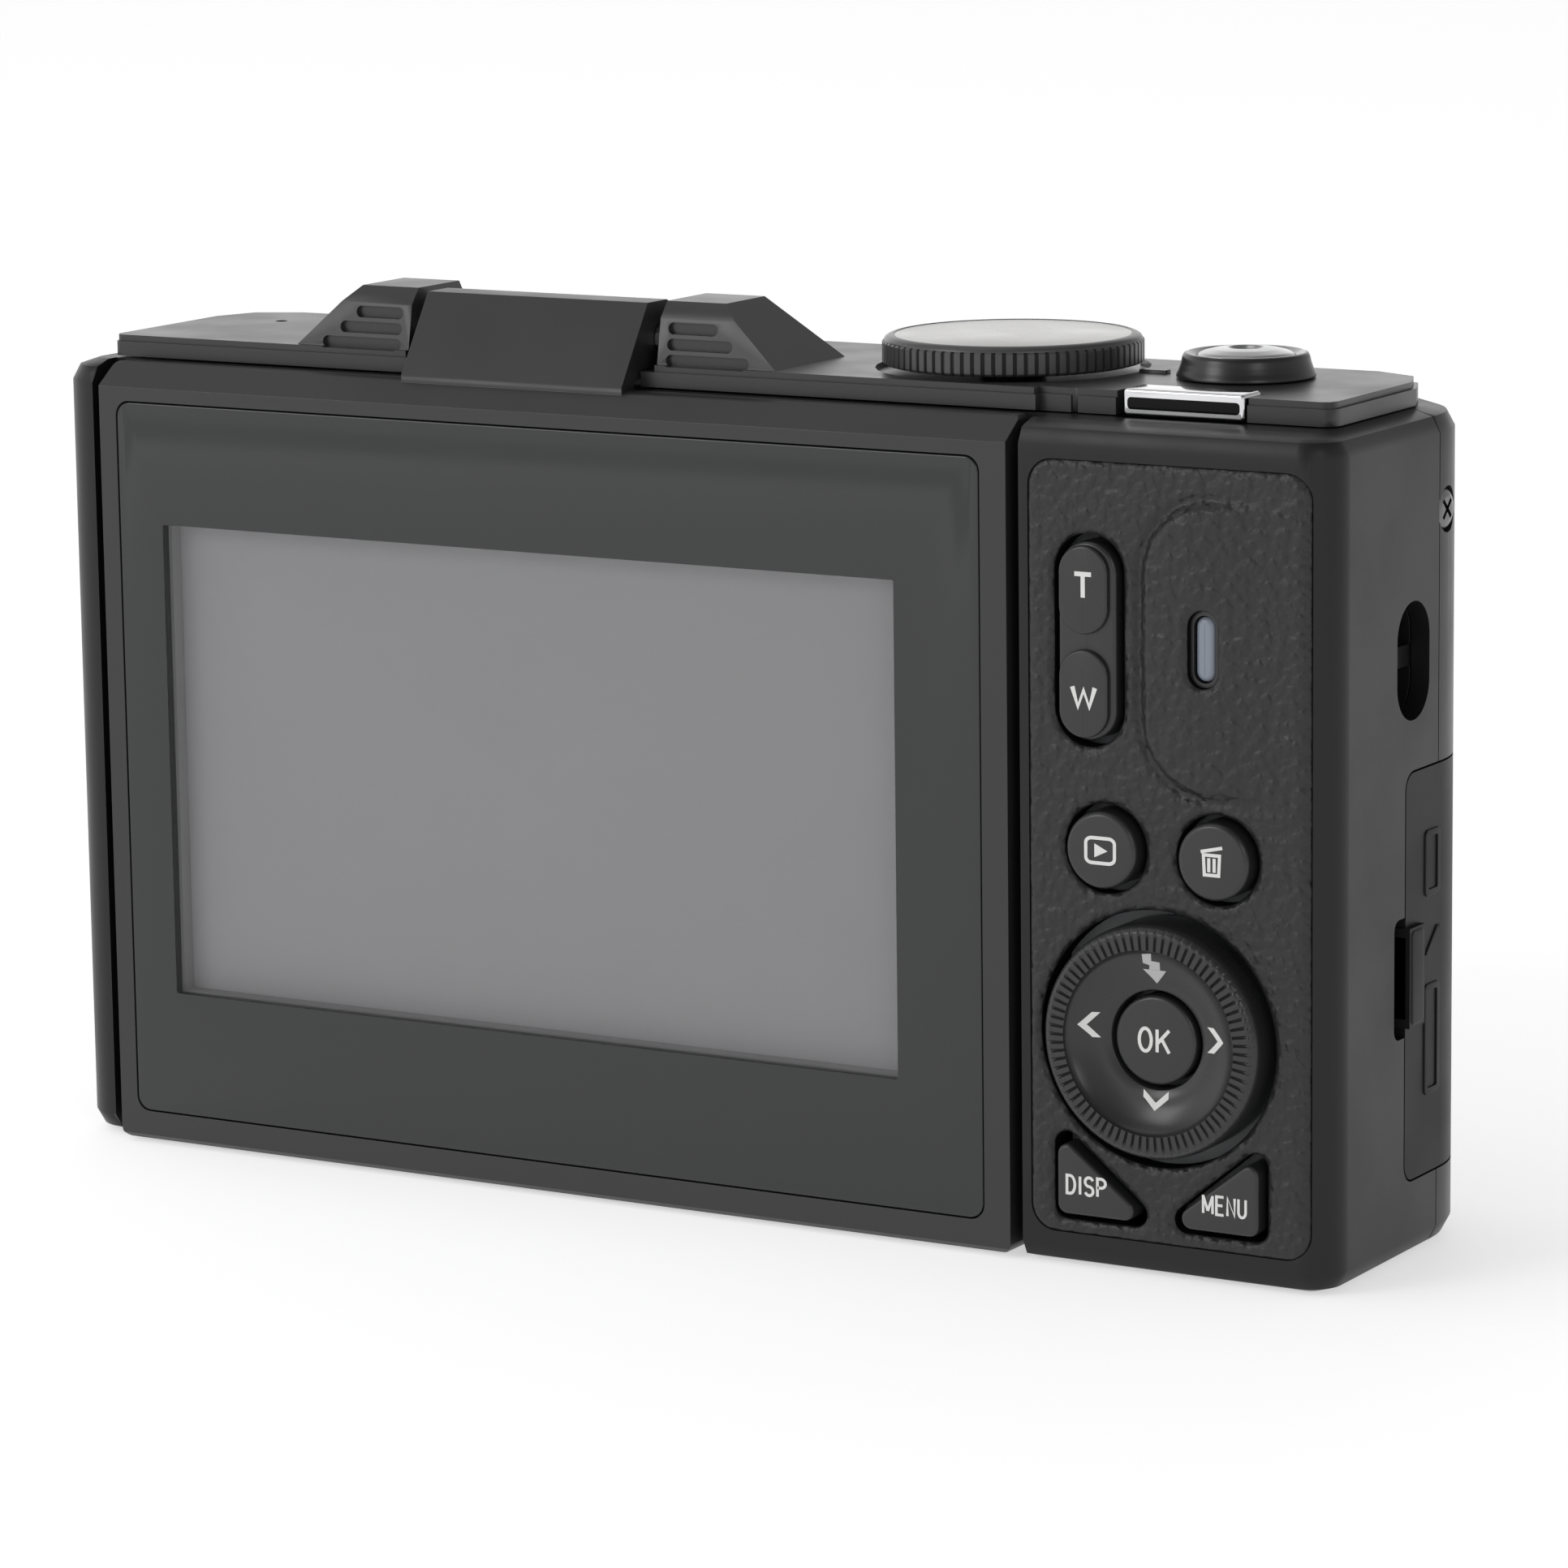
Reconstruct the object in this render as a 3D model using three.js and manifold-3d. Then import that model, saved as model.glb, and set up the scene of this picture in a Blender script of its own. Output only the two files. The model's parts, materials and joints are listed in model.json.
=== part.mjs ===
// Compact digital camera with a flip-up screen, modelled as an assembly.
//
// Units are millimetres. +X points right as seen from the back of the camera, +Y points
// towards the lens and +Z points up. The origin is the middle of the camera's box, on the
// plane that it stands on. The back of the camera, with the screen, faces -Y.

import * as THREE from "three";
import { mergeVertices } from "three/addons/utils/BufferGeometryUtils.js";
import Module from "manifold-3d";

const wasm = await Module();
wasm.setup();

// ---------------------------------------------------------------- driving dimensions

const HALF_W = 56.55;          // half the body's width
const BODY_H = 62.85;          // height of the housing's top ledge
const REAR = -18.0;            // plane of the screen glass and of the rear panel
const PART = 0.0;              // parting line of the rear and front covers
const FRONT = 9.7;             // front face of the body
const WALL = 1.5;              // wall of both covers
const GAP = 0.1;               // assembly gap between neighbouring pieces
const BEVEL = { side: 2.1, height: 1.65 };     // bevel in two facets round the top and bottom edges
const CORNER_REAR = 3.0;       // vertical corner at the right of the back
const CORNER_FRONT = 9.0;      // vertical corners at the front
const STRIP = { r: 3.65, y: -16.5 };           // round wall left of the screen, set in from the back

const SCREEN = { x0: -51.15, x1: 30.25, z0: 0.35, z1: 62.9, front: -13.7 };
const GLASS = { x0: -49.45, x1: 27.95, z0: 2.8, z1: 60.0, r: 1.2, t: 0.8 };
const ACTIVE = { x0: -45.35, x1: 20.75, z0: 12.7, z1: 50.5 };
const BAY = { x0: -52.75, x1: 31.3, floor: -13.4 };
const TAB = { x0: -23.75, x1: -3.75 };
const HINGE = { y: -10.0, z: 66.4, barrel: 2.95, pin: 1.2, sweep: 3.85 };
const PIN_ENDS = [-30.0, 2.5];

const TOP = {
  z0: 62.95, tier: 64.2, z1: 64.7, set: 0.25,
  x0: -52.85, x1: 54.15, notch: 30.4, rear: -13.6, step: -12.8, front: 6.0,
};
const HUMP = {
  x: -13.75, top: 69.4, bevel: 68.2, topHalf: 16.5, baseHalf: 21.7, inner: 11.3,
  rearBase: -13.0, rearBevel: -12.3, rearTop: -11.3, frontTop: -5.6, frontBase: -2.5,
};

const SLOTS = {
  lengths: [4.35, 5.75, 7.3], top: 67.45, pitch: 1.2, h: 0.9, margin: 0.75, floor: -12.05, lean: 0.22,
};

const PAD = { x0: 32.2, x1: 54.75, z0: 2.8, z1: 60.1, t: 0.7, r: 2.0, wrap: -16.3 };
const PANEL_IN = -16.2;        // inner face of the rear panel
const MEMBRANE = -14.4;        // keypad membrane's near face

const ROCKER = { x: 37.05, z: 47.1, w: 4.75, h: 14.6, holeW: 5.9, holeH: 15.9 };
const PLAY = { x: 38.35, z: 31.83 };
const ERASE = { x: 47.45, z: 31.75 };
const BUTTON = { r: 2.87, hole: 3.45, proud: 0.8, flange: 4.1 };
const WHEEL = { x: 42.55, z: 18.0, r: 8.75, hole: 9.7, top: 1.6, dish: 0.1 };
const OK = { r: 3.34, hole: 3.7 };
const LED = { x: 46.45, z: 47.1, w: 2.6, h: 5.9, guideW: 1.6, guideH: 4.8 };
const CORNER_KEY = { x0: 34.5, z0: 4.2, w: 7.8, h: 6.15, mirror: 42.75, r: 0.8 };

const DIAL = { x: 22.45, y: -2.3, r: 9.87, shoulder: 9.7, cap: 9.15, z0: 64.95, z1: 66.75, top: 67.2 };
const SHUTTER = { x: 41.55, y: -1.5, base: 5.17, rim: 3.85, top: 66.6, cap: 3.6 };
const POWER = { x0: 37.3, x1: 47.1, y0: -13.0, y1: -10.3, z0: 63.0, z1: 64.95, left: 0.7 };

const LENS = { x: -13.75, z: 31.0, nose: 19.5, iris: 6.5 };
const FLASH = { x: -44.0, z: 52.6, w: 12.0, h: 6.5 };
const LAMP = { x: 17.5, z: 53.5, r: 2.2 };
const GRIP = { x0: 31.5, x1: 51.0, z0: 3.6, z1: 58.6, bulge: 2.6 };

const FLAP = { y0: -5.5, y1: 4.5, z0: 6.1, z1: 36.7, t: 1.2, corners: [1.3, 0.4, 0.4, 1.3] };
const FLAP_TAB = { x: 57.0, y0: -5.7, y1: -3.1, z0: 17.8, z1: 25.3 };
const STRAP = { y: -4.35, z: 45.0, w: 5.5, h: 8.8 };
const DOOR = { x0: 14.0, x1: 50.0, y0: -6.5, y1: 6.6, t: 1.4 };
const DOOR_PIN = { r: 0.35, clear: 0.07, over: 0.8 };
const TRIPOD = { x: -13.75, y: -5.0, r: 5.2, bore: 3.1 };

const COLOUR = {
  plastic: 0x1d1d1e, satin: 0x232324, leather: 0x1a1a1b, glass: 0x2c2e2f, chrome: 0xd8d8da,
  steel: 0x8d9094, brass: 0xb08d4f, board: 0x1e4a34, silicone: 0xa9a9a4, lcd: 0x8c8d91,
  battery: 0x33383d, rubber: 0x161617, led: 0x8fa3c8, white: 0xe6e6e2, lens: 0x2a3550,
};

// ---------------------------------------------------------------- shape helpers

// A manifold solid from any closed three.js geometry, with its faces turned outwards.
function solid(geometry) {
  const bare = geometry.clone();
  bare.deleteAttribute("normal");
  bare.deleteAttribute("uv");
  const merged = mergeVertices(bare, 1e-4);
  const triVerts = new Uint32Array(merged.index.array);
  const vertProperties = new Float32Array(merged.attributes.position.array);
  if (signedVolume(vertProperties, triVerts) < 0) flip(triVerts);
  return new wasm.Manifold(new wasm.Mesh({ numProp: 3, vertProperties, triVerts }));
}

function signedVolume(p, tris) {
  let sum = 0;
  for (let i = 0; i < tris.length; i += 3) {
    const [a, b, c] = [3 * tris[i], 3 * tris[i + 1], 3 * tris[i + 2]];
    sum += p[a] * (p[b + 1] * p[c + 2] - p[b + 2] * p[c + 1]);
    sum += p[a + 1] * (p[b + 2] * p[c] - p[b] * p[c + 2]);
    sum += p[a + 2] * (p[b] * p[c + 1] - p[b + 1] * p[c]);
  }
  return sum / 6;
}

function flip(tris) {
  for (let i = 0; i < tris.length; i += 3) {
    const held = tris[i];
    tris[i] = tris[i + 1];
    tris[i + 1] = held;
  }
}

function surface(manifold) {
  const mesh = manifold.getMesh();
  const geometry = new THREE.BufferGeometry();
  geometry.setAttribute("position", new THREE.BufferAttribute(new Float32Array(mesh.vertProperties), 3));
  geometry.setIndex(new THREE.BufferAttribute(new Uint32Array(mesh.triVerts), 1));
  return geometry;
}

const cut = (base, ...tools) => tools.reduce((kept, tool) => kept.subtract(tool), base);
const join = (base, ...others) => others.reduce((kept, other) => kept.add(other), base);
const common = (base, ...others) => others.reduce((kept, other) => kept.intersect(other), base);

// A box given by its limits along X, Y and Z.
function block(x0, x1, y0, y1, z0, z1) {
  const box = new THREE.BoxGeometry(x1 - x0, y1 - y0, z1 - z0);
  return solid(box.translate((x0 + x1) / 2, (y0 + y1) / 2, (z0 + z1) / 2));
}

// A rectangle with one radius per corner, in the order low-left, low-right, top-right, top-left.
function rectangle(u0, u1, v0, v1, radii) {
  const r = Array.isArray(radii) ? radii : [radii, radii, radii, radii];
  const shape = new THREE.Shape();
  const corners = [
    [u0 + r[0], v0 + r[0], r[0], Math.PI], [u1 - r[1], v0 + r[1], r[1], 1.5 * Math.PI],
    [u1 - r[2], v1 - r[2], r[2], 0], [u0 + r[3], v1 - r[3], r[3], 0.5 * Math.PI],
  ];
  for (const [u, v, radius, from] of corners) {
    if (radius > 0) shape.absarc(u, v, radius, from, from + Math.PI / 2);
    else if (shape.curves.length === 0 && shape.currentPoint.length() === 0) shape.moveTo(u, v);
    else shape.lineTo(u, v);
  }
  shape.closePath();
  return shape;
}

const centred = (u, v, w, h, r) => rectangle(u - w / 2, u + w / 2, v - h / 2, v + h / 2, r);
const pill = (u, v, w, h) => centred(u, v, w, h, Math.min(w, h) / 2 - 0.001);
const polygon = (points) => new THREE.Shape(points.map(([u, v]) => new THREE.Vector2(u, v)));

function disc(u, v, r) {
  const shape = new THREE.Shape();
  shape.absarc(u, v, r, 0, 2 * Math.PI);
  return shape;
}

// A triangle whose corners are rounded, from its three points in anticlockwise order.
function roundedTriangle(points, r) {
  const shape = new THREE.Shape();
  const at = points.map(([u, v]) => new THREE.Vector2(u, v));
  for (let i = 0; i < 3; i++) {
    const [last, here, next] = [at[(i + 2) % 3], at[i], at[(i + 1) % 3]];
    const into = here.clone().sub(last).normalize();
    const out = next.clone().sub(here).normalize();
    const turn = Math.acos(into.dot(out));
    const reach = r * Math.tan(turn / 2);
    const normal = new THREE.Vector2(-into.y, into.x);
    const centre = here.clone().addScaledVector(into, -reach).addScaledVector(normal, r);
    const from = Math.atan2(-normal.y, -normal.x);
    shape.absarc(centre.x, centre.y, r, from, from + turn);
  }
  shape.closePath();
  return shape;
}

// Prisms along each axis. The outline is in (x, z), (x, y) or (y, z).
function prismY(shape, y0, y1, steps = 6) {
  const raw = new THREE.ExtrudeGeometry(shape, { depth: y1 - y0, bevelEnabled: false, curveSegments: steps });
  return solid(raw.rotateX(Math.PI / 2).translate(0, y1, 0));
}

function prismZ(shape, z0, z1, steps = 6) {
  const raw = new THREE.ExtrudeGeometry(shape, { depth: z1 - z0, bevelEnabled: false, curveSegments: steps });
  return solid(raw.translate(0, 0, z0));
}

function prismX(shape, x0, x1, steps = 6) {
  const raw = new THREE.ExtrudeGeometry(shape, { depth: x1 - x0, bevelEnabled: false, curveSegments: steps });
  const turn = new THREE.Matrix4().makeBasis(
    new THREE.Vector3(0, 1, 0), new THREE.Vector3(0, 0, 1), new THREE.Vector3(1, 0, 0));
  return solid(raw.applyMatrix4(turn).translate(x0, 0, 0));
}

// Turned solids. A profile is a list of [radius, height] that starts and ends on the axis
// or closes on itself; the height runs along the named axis from the given centre.
function lathe(profile, steps) {
  return new THREE.LatheGeometry(profile.map(([r, h]) => new THREE.Vector2(r, h)), steps);
}

const turnedY = (profile, x, z, steps = 20) => solid(lathe(profile, steps).translate(x, 0, z));
const turnedZ = (profile, x, y, steps = 20) =>
  solid(lathe(profile, steps).rotateX(Math.PI / 2).translate(x, y, 0));
const turnedX = (profile, y, z, steps = 16) =>
  solid(lathe(profile, steps).rotateZ(-Math.PI / 2).translate(0, y, z));

const rod = (r, h0, h1) => [[0, h0], [r, h0], [r, h1], [0, h1]];
const ring = (rIn, rOut, h0, h1) => [[rIn, h0], [rOut, h0], [rOut, h1], [rIn, h1], [rIn, h0]];

// ---------------------------------------------------------------- assembly bookkeeping

const camera = new THREE.Group();

function piece(name, manifold, colour, roughness = 0.5, metalness = 0) {
  const material = new THREE.MeshStandardMaterial({ color: colour, roughness, metalness });
  const mesh = new THREE.Mesh(surface(manifold), material);
  mesh.name = name;
  camera.add(mesh);
}

// ---------------------------------------------------------------- body outline

// The body's plan, drawn in by `a` on every side.
function bodyPlan(a) {
  const [side, rear, front] = [HALF_W - CORNER_FRONT, REAR + CORNER_REAR, FRONT - CORNER_FRONT];
  const plan = new THREE.Shape();
  plan.absarc(STRIP.r - HALF_W, STRIP.y + STRIP.r, STRIP.r - a, Math.PI, 1.5 * Math.PI);
  plan.lineTo(STRIP.r - HALF_W + STRIP.y - REAR, REAR + a);
  plan.absarc(HALF_W - CORNER_REAR, rear, CORNER_REAR - a, -0.5 * Math.PI, 0);
  plan.absarc(side, front, CORNER_FRONT - a, 0, 0.5 * Math.PI);
  plan.absarc(-side, front, CORNER_FRONT - a, 0.5 * Math.PI, Math.PI);
  plan.closePath();
  return plan;
}

// The closed outer form of the camera body, drawn in by `a`: its plan raised to its height,
// with a bevel of two facets round the top and the bottom edge.
function bodyForm(a, y0, y1) {
  const [side, height] = [BEVEL.side - 0.6 * a, BEVEL.height - 0.6 * a];
  const raw = new THREE.ExtrudeGeometry(bodyPlan(a), {
    depth: BODY_H - 2 * a - 2 * height, curveSegments: 8, bevelEnabled: true, bevelSegments: 2,
    bevelThickness: height, bevelSize: side, bevelOffset: -side });
  return common(solid(raw.translate(0, 0, a + height)), block(-100, 100, y0, y1, -10, 100));
}

const lensPath = turnedY(rod(22.4, -20, 30), LENS.x, LENS.z, 40);

const flapOutline = (grow) => rectangle(
  FLAP.y0 - grow, FLAP.y1 + grow, FLAP.z0 - grow, FLAP.z1 + grow, FLAP.corners.map((r) => r + grow));
const flapSlot = prismX(flapOutline(0), 50, 60, 4);
const flapSkin = cut(bodyForm(0, REAR, FRONT), bodyForm(FLAP.t, REAR, FRONT));
const flapPocket = block(50, 56, FLAP.y0 + 1.2, FLAP.y1 - 1.4, FLAP.z0 + 1.6, FLAP.z1 - 1.6);
const flapSeat = common(
  cut(bodyForm(0, REAR, FRONT), bodyForm(FLAP.t + 0.2, REAR, FRONT)),
  prismX(flapOutline(0.15), 50, 60, 4));
const tabNotch = prismX(rectangle(-7.4, FLAP.y0 + 0.5, 17.1, 26.1, [0.8, 0, 0, 0.8]), 54.6, 60, 4);

const doorSeat = block(DOOR.x0 - 0.2, DOOR.x1 + 0.2, DOOR.y0 - 0.2, DOOR.y1 + 0.2, -1, 5);
const doorAxis = { y: DOOR.y0 + DOOR.t / 2, z: DOOR.t / 2 };
const doorPin = (r, over) => turnedX(
  rod(r, DOOR.x0 - DOOR_PIN.over - over, DOOR.x1 + DOOR_PIN.over + over), doorAxis.y, doorAxis.z, 12);
const doorPinHole = doorPin(DOOR_PIN.r + 0.05, 0.1);
const strapHole = prismX(pill(STRAP.y, STRAP.z, STRAP.w, STRAP.h), 50, 60);

const dialHole = turnedZ(rod(2.8, 40, 80), DIAL.x, DIAL.y, 24);
const dialRecess = turnedZ(rod(10.4, 64.3, 80), DIAL.x, DIAL.y, 36);
const shutterHole = turnedZ(rod(2.0, 40, 80), SHUTTER.x, SHUTTER.y, 24);
const powerNotch = block(
  POWER.x0 - POWER.left, POWER.x1 + 0.15, POWER.y0 - 0.15, POWER.y1 + 0.15, 62.6, 70);
const powerHole = block(40.3, 44.7, -12.1, -10.9, 40, 70);
const pinHole = turnedX(rod(HINGE.pin + 0.08, PIN_ENDS[0] - 0.15, PIN_ENDS[1] + 0.15), HINGE.y, HINGE.z);
const hingeWell = turnedX(rod(HINGE.sweep, TAB.x0 - 0.5, TAB.x1 + 0.5), HINGE.y, HINGE.z, 24);

const diagonalKey = (grow) => {
  const k = CORNER_KEY;
  const [x, z] = [k.x0 - grow, k.z0 - grow];
  const points = [[x, z], [k.x0 + k.w + 2.2 * grow, z], [x, k.z0 + k.h + 2.2 * grow]];
  return roundedTriangle(points, k.r + 0.4 * grow);
};

const mirrorKey = (shape) => {
  const points = shape.getPoints(3).map((p) => new THREE.Vector2(2 * CORNER_KEY.mirror - p.x, p.y));
  return new THREE.Shape(points.reverse());
};

// Openings through the rear panel for the controls, shared by the panel and its leather pad.
function controlHoles(y0, y1) {
  return [
    prismY(pill(ROCKER.x, ROCKER.z, ROCKER.holeW, ROCKER.holeH), y0, y1, 4),
    prismY(disc(PLAY.x, PLAY.z, BUTTON.hole), y0, y1, 16),
    prismY(disc(ERASE.x, ERASE.z, BUTTON.hole), y0, y1, 16),
    prismY(disc(WHEEL.x, WHEEL.z, WHEEL.hole), y0, y1, 24),
    prismY(diagonalKey(0.6), y0, y1, 3),
    prismY(mirrorKey(diagonalKey(0.6)), y0, y1, 3),
    prismY(pill(LED.x, LED.z, LED.w, LED.h), y0, y1, 3),
  ];
}

const padRegion = (grow) => prismY(
  rectangle(PAD.x0 - grow, PAD.x1 + grow, PAD.z0 - grow, PAD.z1 + grow, PAD.r), REAR - 1, PAD.wrap + grow, 4);

// ---------------------------------------------------------------- covers

function rearCover() {
  const bay = block(BAY.x0, BAY.x1, REAR - 1, BAY.floor, -1, BODY_H + 1);
  const left = block(-HALF_W + WALL, BAY.x1 + WALL, BAY.floor + WALL, PART + 1, WALL, BODY_H - WALL);
  const right = block(BAY.x1 + WALL - 1, HALF_W - WALL, PANEL_IN, PART + 1, WALL, BODY_H - WALL);
  const padSeat = common(
    cut(bodyForm(0, REAR, FRONT), bodyForm(PAD.t + 0.1, REAR, FRONT)), padRegion(0.15));
  const hollow = join(left, cut(right, block(0, BAY.x1 + WALL, REAR, BAY.floor + WALL, 0, 100)));
  const cavity = common(hollow, bodyForm(WALL, REAR, PART + 1));
  return cut(
    bodyForm(0, REAR - 1, PART), bay, cavity, padSeat, ...controlHoles(REAR - 1, PANEL_IN + 0.5),
    flapSeat, flapPocket, tabNotch, doorSeat, strapHole, dialHole, shutterHole, powerNotch, powerHole,
    hingeWell, doorPinHole, turnedZ(rod(4.3, -1, 3), TRIPOD.x, TRIPOD.y, 24), ...bottomScrewHoles());
}

function frontCover() {
  const inside = common(bodyForm(WALL, REAR, FRONT), block(-100, 100, REAR, FRONT, 0, BODY_H));
  const flashHole = prismY(centred(FLASH.x, FLASH.z, FLASH.w, FLASH.h, 1), 0, 12, 4);
  const lampHole = turnedY(rod(LAMP.r, 0, 12), LAMP.x, LAMP.z, 24);
  const gripSeat = block(GRIP.x0 - 0.1, GRIP.x1 + 0.1, FRONT - 0.5, FRONT + 1, GRIP.z0 - 0.1, GRIP.z1 + 0.1);
  const screws = SIDE_SCREWS.map((s) => turnedX(rod(1.75, s.side * 55.7, s.side * 60), s.y, s.z, 16));
  return cut(
    bodyForm(0, PART + GAP, FRONT), inside, lensPath, flashHole, lampHole, gripSeat, flapSeat, flapPocket,
    doorSeat, dialHole, ...screws, ...bottomScrewHoles());
}

function hump() {
  const profile = polygon([
    [HUMP.rearBase, TOP.z1 - 1.4], [HUMP.frontBase, TOP.z1 - 1.4], [HUMP.frontBase, TOP.z1],
    [HUMP.frontTop, HUMP.top], [HUMP.rearTop, HUMP.top], [HUMP.rearBevel, HUMP.bevel],
    [HUMP.rearBase, TOP.z1 - 0.3]]);
  const outline = polygon([
    [HUMP.x - HUMP.baseHalf, TOP.z1 - 1.4], [HUMP.x + HUMP.baseHalf, TOP.z1 - 1.4],
    [HUMP.x + HUMP.baseHalf, TOP.z1], [HUMP.x + HUMP.topHalf, HUMP.top],
    [HUMP.x - HUMP.topHalf, HUMP.top], [HUMP.x - HUMP.baseHalf, TOP.z1]]);
  return common(prismX(profile, -60, 40), prismY(outline, -20, 10));
}

// Outline of the top cover's plate, drawn in by `a` except on the left.
function topPlan(a) {
  const [x0, x1, notch] = [TOP.x0, TOP.x1 - a, TOP.notch - a];
  const [rear, step, front] = [TOP.rear + a, TOP.step + a, TOP.front - a];
  return polygon([
    [x0 + 0.8, rear], [notch, rear], [notch, step], [x1 - 1.0, step], [x1 - 0.3, step + 0.3],
    [x1, step + 1.0], [x1, front - 5], [x1 - 1.4, front - 1.6], [x1 - 5, front],
    [x0 + 5, front], [x0 + 1.4, front - 1.6], [x0, front - 5], [x0, rear + 0.8], [x0 + 0.25, rear + 0.25]]);
}

// Room for the screen's hinge tab to pass, wider than the tab by `margin` on both sides.
function tabPassage(margin) {
  const section = polygon([[-20, 62], [-7.4, 62.9], [-3.2, 69.8], [-3.2, 75], [-20, 75]]);
  return join(
    prismX(section, TAB.x0 - margin, TAB.x1 + margin),
    turnedX(rod(HINGE.sweep, TAB.x0 - margin, TAB.x1 + margin), HINGE.y, HINGE.z, 24));
}

function topCover() {
  const plate = join(
    prismZ(topPlan(0), TOP.z0, TOP.tier), prismZ(topPlan(TOP.set), TOP.tier - 0.1, TOP.z1));
  const aboveTier = block(-100, 100, -100, 100, TOP.tier, 100);
  const passage = join(tabPassage(0.22), common(tabPassage(1.3), aboveTier));
  const lip = block(TOP.x0 - 1, TOP.notch + 0.1, TOP.rear - 1, TOP.rear + 0.9, 62, 63.05);
  const groove = turnedZ(rod(0.3, 62, 70), 33.2, TOP.step, 10);
  const mic = turnedZ(rod(0.5, 60, 70), -45.85, -0.2, 10);
  const slots = [];
  for (const side of [-1, 1]) {
    for (const [row, length] of SLOTS.lengths.entries()) {
      const middle = HUMP.x + side * (HUMP.inner + SLOTS.margin + length / 2);
      const outline = pill(middle, SLOTS.top - SLOTS.pitch * row, length, SLOTS.h);
      slots.push(prismY(outline, -20, SLOTS.floor - SLOTS.lean * row, 3));
    }
  }
  const index = block(DIAL.x + 10.6, DIAL.x + 12.8, DIAL.y + 0.1, DIAL.y + 0.9, TOP.z0, TOP.z1 + 0.25);
  return cut(
    join(plate, hump(), index), passage, pinHole, lip, groove, mic, dialRecess, dialHole, shutterHole,
    turnedZ(rod(3.9, 64.2, 70), SHUTTER.x, SHUTTER.y, 28), powerNotch, powerHole, ...slots);
}

// ---------------------------------------------------------------- fasteners

const SIDE_SCREWS = [
  { name: "side_screw_right", side: 1, y: 1.6, z: 55.4 },
  { name: "side_screw_left", side: -1, y: 1.6, z: 55.4 },
];
const BOTTOM_SCREWS = [
  { name: "bottom_screw_left", x: -50.5, y: -6.0 },
  { name: "bottom_screw_middle", x: 5.5, y: -6.0 },
];

function bottomScrewHoles() {
  return BOTTOM_SCREWS.map((s) => turnedZ(rod(1.75, -1, 0.9), s.x, s.y, 20));
}

const SCREW = [[0, 0.35], [0.5, 0.35], [0.5, 0.05], [1.2, 0], [1.6, 0.25], [1.6, 0.7], [0, 0.7]];

function screws() {
  for (const s of BOTTOM_SCREWS) piece(s.name, turnedZ(SCREW, s.x, s.y, 16), COLOUR.plastic, 0.4, 0.6);
  for (const s of SIDE_SCREWS) {
    const profile = SCREW.map(([r, h]) => [r, s.side * (HALF_W - 0.1 - h)]);
    piece(s.name, turnedX(profile, s.y, s.z, 16), COLOUR.plastic, 0.4, 0.6);
  }
}

// ---------------------------------------------------------------- screen

function screenFrame() {
  const s = SCREEN;
  const outer = common(
    prismY(rectangle(s.x0, s.x1, s.z0, s.z1, [0.8, 0.8, 0.4, 0.4]), REAR, s.front - 0.75, 3),
    prismX(polygon([
      [REAR, s.z0 + 0.4], [REAR + 0.4, s.z0], [0, s.z0], [0, s.z1], [REAR + 2.4, s.z1], [REAR, s.z1 - 1.7]]),
    -60, 40));
  const seat = rectangle(GLASS.x0 - 0.1, GLASS.x1 + 0.1, GLASS.z0 - 0.1, GLASS.z1 + 0.1, GLASS.r);
  const glassSeat = prismY(seat, REAR - 1, REAR + GLASS.t + 0.1, 3);
  const hollow = block(GLASS.x0 + 1.2, GLASS.x1 - 1.2, REAR, 0, GLASS.z0 + 1.2, GLASS.z1 - 1.2);
  const arc = [];
  for (let a = 75; a >= -135; a -= 15) {
    const t = THREE.MathUtils.degToRad(a);
    arc.push([HINGE.y + HINGE.barrel * Math.cos(t), HINGE.z + HINGE.barrel * Math.sin(t)]);
  }
  const tabSection = polygon([
    [REAR + 2.0, 62.0], [REAR + 2.0, 63.2], [-12.0, 69.25], ...arc, [s.front - 0.3, 63.4],
    [s.front - 0.8, 62.0]]);
  const tab = cut(
    prismX(tabSection, TAB.x0, TAB.x1),
    pinHole);
  return join(cut(outer, glassSeat, hollow), tab);
}

function screen() {
  const s = SCREEN;
  piece("screen_frame", screenFrame(), COLOUR.satin, 0.5);
  const glass = rectangle(GLASS.x0, GLASS.x1, GLASS.z0, GLASS.z1, GLASS.r);
  piece("touch_glass", prismY(glass, REAR, REAR + GLASS.t, 4), COLOUR.glass, 0.15);
  const panel = block(
    ACTIVE.x0 - 1.4, ACTIVE.x1 + 3.5, REAR + 2.0, REAR + 3.3, ACTIVE.z0 - 3.5, ACTIVE.z1 + 1.4);
  piece("lcd_panel", panel, COLOUR.lcd, 0.3);
  const back = prismY(rectangle(s.x0 + 0.2, s.x1 - 0.2, s.z0 + 0.2, 61.9, 0.6), s.front - 0.7, s.front, 3);
  piece("screen_back_cover", back, COLOUR.plastic, 0.55);
  const pin = (from, to) => turnedX(rod(HINGE.pin, from, to), HINGE.y, HINGE.z);
  piece("hinge_pin_left", pin(PIN_ENDS[0], TAB.x0 + 4), COLOUR.steel, 0.3, 1);
  piece("hinge_pin_right", pin(TAB.x1 - 4, PIN_ENDS[1]), COLOUR.steel, 0.3, 1);
}

// ---------------------------------------------------------------- rear controls

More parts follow.
